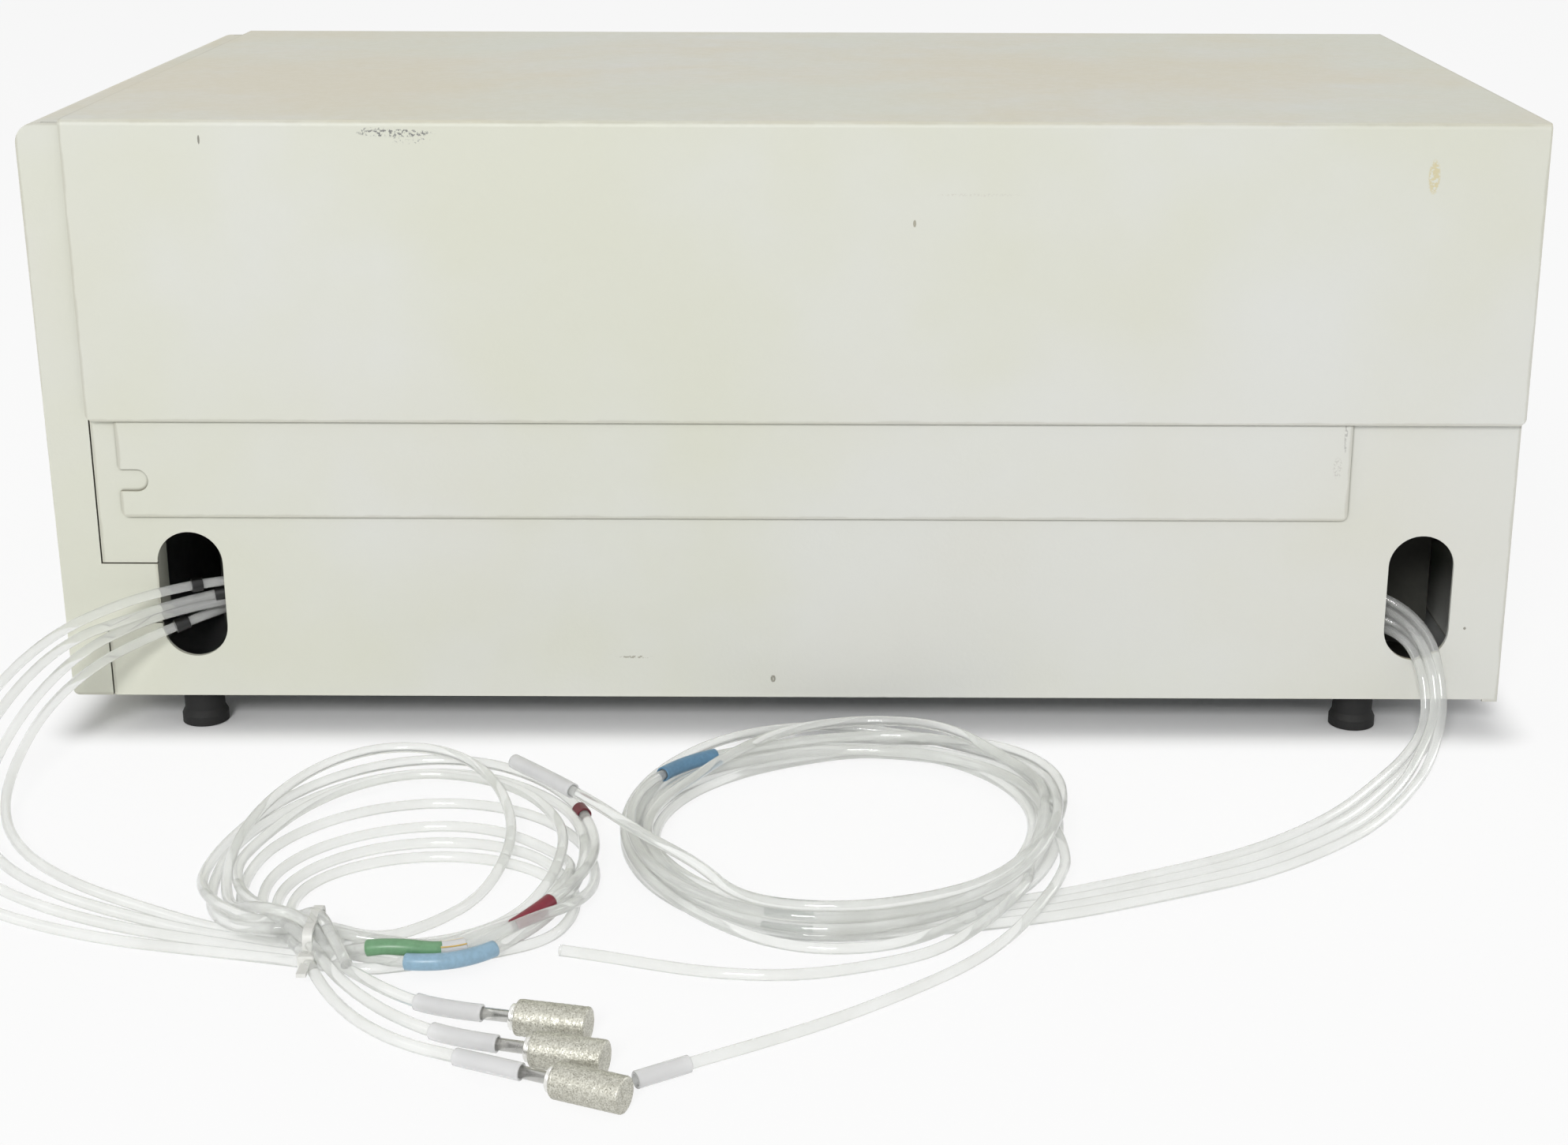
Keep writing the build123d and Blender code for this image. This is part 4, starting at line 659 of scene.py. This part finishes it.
def roundTurns(look, line):
    # circle with a slow sway; radius and height step by one layer in each full turn
    cx, cy = look["centre"]
    lead = outletLeads[line][-1]
    radius = math.hypot(lead[0] - cx, lead[1] - cy)
    start = math.atan2(-(lead[0] - cx), -(lead[1] - cy))
    end = math.radians(look["ends"][line])
    count = int((end - start) / (2 * math.pi) * look["perTurn"])
    angle = np.linspace(start, end, count + 1)[1:]
    degrees = np.degrees(angle)
    turns = (angle - start) / (2 * math.pi)
    swing = sum(size * np.sin(waves * angle + phase) for size, waves, phase in look["sway"])
    size, phase = look["drift"][line]
    spread = radius - look["middle"] + size * np.sin(look["driftWaves"] * angle + phase)
    spread += look["shift"] * (turns % 2.0 > 1.0) * np.minimum(1, (turns % 1.0) * look["shiftRate"])
    piled = sum((1 - left) * np.exp(-(((degrees - where + 180) % 360 - 180) / wide) ** 2)
                for where, wide, left in look["pile"])
    rho = (look["middle"] + spread * (1 - piled)) * look["growth"] + swing
    z = lead[2] + look["layer"] * turns * (1 + piled) + look["layer"] * piled * (line % 2)
    for where, wide, out, up in look["loose"][line]:
        bump = np.exp(-((degrees - where) / wide) ** 2)
        rho += out * bump
        z += up * bump
    lastZ, over = look["lastZ"][line]
    near = np.clip(1 - np.degrees(end - angle) / over, 0, 1) ** 2
    z = z * (1 - near) + lastZ * near
    return np.stack([cx - rho * np.sin(angle), cy - rho * np.cos(angle), z], 1).tolist()


# pushes the strands of a coil apart and up off the floor, which leaves some overlap in the tie
settling = {
    "least": 3.3,  # distance between strands that it works towards, mm
    "floor": 1.7,
    "rounds": 70,
    "steps": 8,  # samples for each control point
    "gain": 1.4,
    "apart": 14.0,  # samples of one line nearer than this along it are neighbours
    "sink": 0.03,  # fall in each round where nothing is touched
    "smallest": 0.05,
}


def splineShares(count, steps):
    # weights of the control points at each sample of a quadratic spline
    rows = np.arange((count - 2) * steps)
    first, t = rows // steps, (rows % steps) / steps
    shares = np.zeros((len(rows), count))
    shares[rows, first] = 0.5 * (1 - t) ** 2
    shares[rows, first + 1] = 0.5 + t - t ** 2
    shares[rows, first + 2] = 0.5 * t ** 2
    return shares


def settleLines(look, group, heldStart, heldEnd):
    # samples nearer than a diameter push each other away, and the control points follow their samples
    counts = [len(points) for points in group]
    starts = np.concatenate([[0], np.cumsum(counts)])
    control = np.concatenate([np.array(points) for points in group])
    blocks = [splineShares(count, look["steps"]) for count in counts]
    shares = np.zeros((sum(len(block) for block in blocks), len(control)))
    owner = np.concatenate([np.full(len(block), i) for i, block in enumerate(blocks)])
    row = 0
    for block, start in zip(blocks, starts):
        shares[row:row + len(block), start:start + block.shape[1]] = block
        row += len(block)
    free = np.ones(len(control))
    for start, end, first, last in zip(starts, starts[1:], heldStart, heldEnd):
        free[start:start + first] = 0
        free[end - last:end] = 0
    where = shares @ control
    along = np.concatenate([[0], np.cumsum(np.linalg.norm(np.diff(where, axis=0), axis=1))])
    other = (owner[:, None] != owner) | (np.abs(along[:, None] - along) > look["apart"])
    other = np.triu(other, 1)
    weight = shares.sum(0)[:, None]
    least = look["least"]
    for _ in range(look["rounds"]):
        where = shares @ control
        square = (where ** 2).sum(1)
        gap = square[:, None] + square - 2 * where @ where.T
        a, b = np.nonzero((gap < least ** 2) & other)
        away = where[a] - where[b]
        distance = np.maximum(np.linalg.norm(away, axis=1), look["smallest"])
        push = away / distance[:, None] * (least - distance)[:, None] / 2
        move = np.zeros_like(where)
        np.add.at(move, a, push)
        np.add.at(move, b, -push)
        hits = np.bincount(np.concatenate([a, b]), minlength=len(where))
        move /= np.maximum(hits, 1)[:, None]
        move[hits == 0, 2] -= look["sink"]
        move[:, 2] += np.maximum(look["floor"] - where[:, 2] - move[:, 2], 0)
        control += free[:, None] * look["gain"] * (shares.T @ move) / weight
    print("settled, closest", round(float(distance.min()), 2), "mm in", len(a), "pairs")
    return [control[start:end].tolist() for start, end in zip(starts, starts[1:])]


def makeLine(name, points, material, radius):
    curve = bpy.data.curves.new(name, "CURVE")
    curve.dimensions = "3D"
    spline = curve.splines.new("NURBS")
    spline.points.add(len(points) - 1)
    where = np.ones((len(points), 4))
    where[:, :3] = np.array(points) * mm
    spline.points.foreach_set("co", where.ravel())
    spline.order_u = 3
    spline.use_endpoint_u = True
    spline.resolution_u = lineLook["smooth"]
    curve.bevel_depth = radius
    curve.bevel_resolution = lineLook["sides"]
    curve.use_fill_caps = True
    curve.materials.append(material)
    line = bpy.data.objects.new(name, curve)
    bpy.context.scene.collection.objects.link(line)
    return line


def readPath(line):
    # points of the line's own spline, read with its thickness off
    curve = line.data
    depth = curve.bevel_depth
    curve.bevel_depth = 0
    mesh = bpy.data.meshes.new_from_object(line)
    points = np.zeros(len(mesh.vertices) * 3)
    mesh.vertices.foreach_get("co", points)
    bpy.data.meshes.remove(mesh)
    curve.bevel_depth = depth
    return points.reshape(-1, 3)


def runLengths(points):
    # distance along the path of each of its points
    return np.concatenate([[0], np.cumsum(np.linalg.norm(np.diff(points, axis=0), axis=1))])


def alongPath(points, distances):
    # place and frame (along, side, over) at distances along a path
    length = runLengths(points)
    place = np.stack([np.interp(distances, length, points[:, i]) for i in range(3)], 1)
    ahead = np.stack([np.interp(distances + 1 * mm, length, points[:, i]) for i in range(3)], 1)
    behind = np.stack([np.interp(distances - 1 * mm, length, points[:, i]) for i in range(3)], 1)
    along = ahead - behind
    along /= np.linalg.norm(along, axis=1)[:, None]
    side = np.cross(along, (0, 0, 1))
    side /= np.linalg.norm(side, axis=1)[:, None]
    return place, along, side, np.cross(side, along)


def pathLength(points):
    return float(runLengths(points)[-1])


def turnedAlong(name, points, distances, radii, material, sides, closed=False, rough=None):
    # ring surface: centre(s) + r (cos v side + sin v over), for each (s, r) of the profile
    place, along, side, over = alongPath(points, np.asarray(distances, float))
    angle = np.arange(sides) / sides * 2 * math.pi
    reach = np.asarray(radii, float)[:, None] * np.ones(sides)
    if rough is not None:
        reach = reach + rough
    grid = (place[:, None] + reach[..., None] * (np.cos(angle)[:, None] * side[:, None]
                                                + np.sin(angle)[:, None] * over[:, None]))
    rows = len(distances)
    last = rows if closed else rows - 1
    i, j = np.meshgrid(np.arange(last), np.arange(sides), indexing="ij")
    iNext, jNext = (i + 1) % rows, (j + 1) % sides
    faces = np.stack([i * sides + j, iNext * sides + j, iNext * sides + jNext, i * sides + jNext], -1)
    return makePiece(name, grid.reshape(-1, 3), faces.reshape(-1, 4), material)


def makePiece(name, vertices, faces, material):
    mesh = bpy.data.meshes.new(name)
    mesh.from_pydata(vertices.tolist(), [], faces.tolist())
    mesh.polygons.foreach_set("use_smooth", np.full(len(faces), True))
    mesh.materials.append(material)
    mesh.update()
    piece = bpy.data.objects.new(name, mesh)
    bpy.context.scene.collection.objects.link(piece)
    return piece


def nearestDistance(points, target):
    # distance along the path of its point nearest a target in mm
    return float(runLengths(points)[np.argmin(np.linalg.norm(points - np.array(target) * mm, axis=1))])


tubeMaterial = makeClear("clear_tube", tubeGlass)
sleeveMaterial = makeClear("clear_sleeve", sleeveGlass)

lines = {}
held = {"inlet": [4, 4, 4, 2], "outlet": [4, 4, 2, 1]}  # points at each line's end that stay put
for side, leads, turns, look, tails in (("inlet", inletLeads, tiedTurns, tiedCoil, inletTails),
                                        ("outlet", outletLeads, roundTurns, roundCoil, outletTails)):
    group = [leads[i] + turns(look, i) + tails[i] for i in range(4)]
    group = settleLines(settling, group, [len(lead) - 2 for lead in leads], held[side])
    for i, points in enumerate(group):
        lines[f"{side}_tube_{i + 1}"] = points
tubes = {}
paths = {}
for name, points in lines.items():
    tubes[name] = makeLine(name, points, tubeMaterial, lineLook["radius"])
    paths[name] = readPath(tubes[name])
    print(name, len(points), "points, length", round(pathLength(paths[name]), 3))


# ---- inlet filters: sintered cup, turned collar and stem at the end of three inlet lines

filterLook = {
    "neck": 10.6, "body": 19.0,  # lengths, mm
    "radius": 4.65, "rim": 0.6,
    "grain": 0.045, "seed": 40,
    "rows": 56, "sides": 84,
    "rimRows": 6, "rimGap": 1.2,
    "endRings": (0.8, 0.6, 0.4, 0.2, 1e-4),
    "pathPoints": 40,
    # turned stem and collar: distance along and radius, mm
    "neckProfile": [(0, 0.001), (0, 1.45), (0.15, 1.6), (9.0, 1.6), (9.0, 3.15), (9.25, 3.4), (10.1, 3.4),
                    (10.25, 3.1), (10.4, 3.4), (10.9, 3.4)],
    "neckSides": 48,
}
sinteredLook = {
    "roughness": 0.52, "roughnessSpan": -0.12, "metallic": 0.75,
    "light": shade(176, 174, 162), "lighter": shade(214, 213, 202), "pore": shade(112, 110, 100),
    "grain": {"Scale": 2200.0, "Soft": 0.35},
    "pores": (3400.0, 2.0, 0.6, 0.30, 0.45),
    "depth": 0.00009,
}


def makeSintered(look):
    material, tree, surface, where = startMaterial("sintered_steel", look["roughness"], look["metallic"])
    grain = useGroup(tree, grainGroup, Vector=where, **look["grain"])
    pores = patches(tree, where, *look["pores"])
    colour = blendColour(tree, grain["Share"], look["light"], look["lighter"])
    colour = blendColour(tree, pores, look["pore"], colour)
    feed(tree, surface.inputs["Base Color"], colour)
    feed(tree, surface.inputs["Roughness"],
         mathNode(tree, "MULTIPLY_ADD", grain["Share"], look["roughnessSpan"], look["roughness"]))
    addBump(tree, surface, grain["Height"], look["depth"])
    return material


def filterPath(line):
    # straight path that starts where the tube's last run ends, along that run
    end = np.array(line[-1]) * mm
    way = end - np.array(line[-2]) * mm
    way /= np.linalg.norm(way)
    total = (filterLook["neck"] + filterLook["body"]) * mm
    return end + np.linspace(0, total, filterLook["pathPoints"])[:, None] * way


def makeFilter(number, line, material, bright):
    look = filterLook
    path = filterPath(lines[line])
    neckEnd = look["neck"] * mm
    total = neckEnd + look["body"] * mm
    radius, rim, rows = look["radius"] * mm, look["rim"] * mm, look["rows"]
    quarter = np.linspace(0, math.pi / 2, look["rimRows"])
    inset = rim * (1 - np.cos(quarter))
    rounded = radius - rim * (1 - np.sin(quarter))
    gap = rim * look["rimGap"]
    rings = np.array(look["endRings"])
    bodyS = np.concatenate([[neckEnd] * 2, neckEnd + inset, np.linspace(neckEnd + gap, total - gap, rows),
                            total - inset[::-1], [total] * len(rings)])
    bodyR = np.concatenate([[1e-6, radius - rim], rounded, np.full(rows, radius), rounded[::-1],
                            (radius - rim) * rings])
    grain = look["grain"] * mm
    random = np.random.default_rng(look["seed"] + number)
    rough = random.normal(0, grain, (len(bodyS), look["sides"]))
    rough = np.clip(rough, -2 * grain, 2 * grain)
    rough[bodyR < radius - rim] = 0
    body = turnedAlong(f"filter_cup_{number}", path, bodyS, bodyR, material, look["sides"], rough=rough)
    neckS, neckR = np.array(look["neckProfile"]).T * mm
    neck = turnedAlong(f"filter_neck_{number}", path, neckS, neckR, bright, look["neckSides"])
    for piece in (body, neck):
        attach(piece, "case")
        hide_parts(f"inlet_filter_{number}")
    return [body, neck]


# stems and collars take the brighter steel copy, a painted reflection
stemReflectionMaterial = makeFinish("stemSteelPaintedReflection")
sinteredMaterial = makeSintered(sinteredLook)
filters = [makeFilter(i + 1, f"inlet_tube_{i + 1}", sinteredMaterial, stemReflectionMaterial) for i in range(3)]
print("filters ready")


# ---- sleeves on the lines: clear ones at the ends, coloured markers near the tie and on the coils

sleeveLook = {
    "radius": 2.3, "wall": 0.5, "edge": 0.12,  # mm
    "rows": 26, "sides": 28,
    "onStem": (17.5, 1.2),  # mm before and past the end of the tube
    "onEnd": {"outlet_tube_1": 15.0, "outlet_tube_3": 30.0},
    "endGap": 0.2,
}


def makeSleeve(name, path, start, end, material):
    # thin tube round a path from start to end, both measured along it in metres
    edge, wall = sleeveLook["edge"] * mm, sleeveLook["wall"] * mm
    outer, rows = sleeveLook["radius"] * mm, sleeveLook["rows"]
    run = np.linspace(start + edge, end - edge, rows)
    distances = np.concatenate([[start], run, [end, end], run[::-1], [start]])
    radii = np.concatenate([[outer - edge], np.full(rows, outer), [outer - edge, outer - wall],
                            np.full(rows, outer - wall), [outer - wall]])
    piece = turnedAlong(name, path, distances, radii, material, sleeveLook["sides"], closed=True)
    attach(piece, "case")
    return piece


markerLook = {
    # line, nearest point in mm, length in mm, colour
    "marks": {
        "marker_blue_inlet": ("inlet_tube_2", (-83.5, -305, 3), 25.0, shade(150, 184, 206)),
        "marker_green_inlet": ("inlet_tube_3", (-99.1, -297.4, 6.5), 20.0, shade(116, 164, 122)),
        "marker_red_inlet": ("inlet_tube_1", (-60, -281, 4), 15.0, shade(132, 18, 44)),
        "marker_blue_outlet": ("outlet_tube_4", (-30.8, -176.2, 8.5), 24.0, shade(100, 144, 176)),
        "marker_green_outlet": ("outlet_tube_2", (3.3, -272.4, 1.8), 14.0, shade(60, 98, 72)),
        "marker_red_back": ("inlet_tube_1", (-60.6, -205.9, 4.9), 5.0, shade(108, 20, 38)),
        "dark_collar_1": ("inlet_tube_4", (-193.6, -127.3, 50.7), 3.6, shade(9, 9, 9)),
        "dark_collar_2": ("inlet_tube_3", (-187.2, -124.0, 46.5), 3.6, shade(9, 9, 9)),
        "dark_band": ("inlet_tube_1", (-198.9, -128.4, 37.5), 4.6, shade(14, 14, 14)),
    },
    # clear sleeve with two coloured threads along it
    "threaded": ("inlet_tube_3", (-85.6, -295.2, 4.9), 7.0, shade(226, 190, 104)),
    "threadRadius": 0.22,
    "threadAside": (-0.75, 0.75),  # how far to the side of the sleeve, as a share of its radius
    "threadRows": 16, "threadSides": 10,
    "roughness": 0.32,
    "grain": {"Scale": 900.0, "Soft": 0.5},
    "faded": 0.86,
    "depth": 0.00002,
}


def makeMarkerMaterial(name, colour):
    # dyed film, a little faded and scuffed
    look = markerLook
    material, tree, surface, where = startMaterial(name, look["roughness"])
    grain = useGroup(tree, grainGroup, Vector=where, **look["grain"])
    worn = tuple(c * look["faded"] for c in colour[:3]) + (1.0,)
    feed(tree, surface.inputs["Base Color"], blendColour(tree, grain["Share"], colour, worn))
    addBump(tree, surface, grain["Height"], look["depth"])
    return material


def markerSpan(line, target, length):
    # where a marker starts and ends along its line
    middle = nearestDistance(paths[line], target)
    half = length / 2 * mm
    return middle - half, middle + half


def makeThreads(line, start, end, colour):
    material = makeMarkerMaterial("marker_thread", colour)
    rows, reach = markerLook["threadRows"], sleeveLook["radius"] * mm
    place, _, side, over = alongPath(paths[line], np.linspace(start, end, rows))
    radii = np.concatenate([[1e-6], np.full(rows, markerLook["threadRadius"] * mm), [1e-6]])
    threads = []
    for i, aside in enumerate(markerLook["threadAside"]):
        path = place + reach * (aside * side + math.sqrt(1 - aside ** 2) * over)
        full = pathLength(path)
        run = np.concatenate([[0], np.linspace(0, full, rows), [full]])
        piece = turnedAlong(f"marker_thread_{i + 1}", path, run, radii, material, markerLook["threadSides"])
        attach(piece, "case")
        threads.append(piece)
    return threads


extras = {name: [] for name in lines}
for i, pieces in enumerate(filters):
    extras[f"inlet_tube_{i + 1}"] += pieces
for name, (line, target, length, colour) in markerLook["marks"].items():
    start, end = markerSpan(line, target, length)
    extras[line].append(makeSleeve(name, paths[line], start, end, makeMarkerMaterial(name, colour)))
line, target, length, colour = markerLook["threaded"]
start, end = markerSpan(line, target, length)
extras[line].append(makeSleeve("marker_yellow_inlet", paths[line], start, end, sleeveMaterial))
extras[line] += makeThreads(line, start, end, colour)
before, past = sleeveLook["onStem"]
for i in range(3):
    line = f"inlet_tube_{i + 1}"
    full = pathLength(paths[line])
    path = np.concatenate([paths[line], filterPath(lines[line])[1:]])
    piece = makeSleeve(f"stem_sleeve_{i + 1}", path, full - before * mm, full + past * mm, sleeveMaterial)
    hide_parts("stem_sleeves")
    extras[line].append(piece)
for line, length in sleeveLook["onEnd"].items():
    full = pathLength(paths[line])
    piece = makeSleeve(f"end_sleeve_{line[-1]}", paths[line], full - length * mm,
                       full - sleeveLook["endGap"] * mm, sleeveMaterial)
    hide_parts("end_sleeves")
    extras[line].append(piece)
print("sleeves ready")


cordFacts = {  # real length in metres, far end
    "inlet_tube_1": (1.05, "fitting"), "inlet_tube_2": (1.09, "fitting"), "inlet_tube_3": (1.04, "fitting"),
    "inlet_tube_4": (0.87, "bare"), "outlet_tube_1": (1.22, "bare"), "outlet_tube_2": (1.28, "bare"),
    "outlet_tube_3": (1.39, "bare"), "outlet_tube_4": (1.64, "bare"),
}
for name, (length, farEnd) in cordFacts.items():
    side, index = name.split("_tube_")
    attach(tubes[name], "case")
    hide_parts(f"{side}_line_{index}", f"{side}_coil")
    start = [c * mm for c in lines[name][0]]


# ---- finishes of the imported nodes

painted = {  # nodes that share it, marks
    "cover_paint": (["top_cover"], coverMarks),
    "panel_paint": (["near_side_panel"], panelMarks),
    "plate_paint": (["near_guide_plate"], plateMarks),
    "bezel_paint": (["front_bezel"], []),
    "far_panel_paint": (["far_side_panel", "far_guide_plate"], []),
    "rear_paint": (["rear_wall"], []),
}
finished = {
    "zinc": ["base_tray", "front_wall", "chamber_cradle", "pump_bracket"],
    "blackSheet": ["tube_channel"],
    "steel": ["cover_screws", "bezel_nuts", "foot_screws", "exhaust_port"],
    "rubber": ["foot_1", "foot_2", "foot_3", "foot_4"],
    "blackPlastic": ["inlet_unions", "outlet_unions", "power_inlet", "fuse_drawer"],
    "rockerPlastic": ["power_rocker"],
    "chamberPlastic": [f"degassing_chamber_{i + 1}" for i in range(4)],
    "hoseRubber": ["vacuum_rail", "vacuum_hose", "inner_wires"],
    "pumpPlastic": ["pump_head"],
    "motorSteel": ["pump_motor"],
    "boardGreen": ["control_board"],
    "chipBlack": ["board_parts"],
    "brass": ["board_standoffs", "inlet_blades"],
    "canSteel": ["power_supply"],
    "nylon": ["cable_tie"],
}
for name, (targets, marks) in painted.items():
    setNodes(makePaint(name, targets[0], marks), *targets)
for name, targets in finished.items():
    setNodes(makeFinish(name), *targets)
setNodes(makeClear("lamp_lens", lampGlass), "status_lamps")
setNodes(makeClear("fuse_glass", tubeGlass), "fuses")
setNodes(tubeMaterial, "inner_lines")
print("finishes ready")

bpy.context.scene.view_settings.view_transform = "Standard"
print("done")
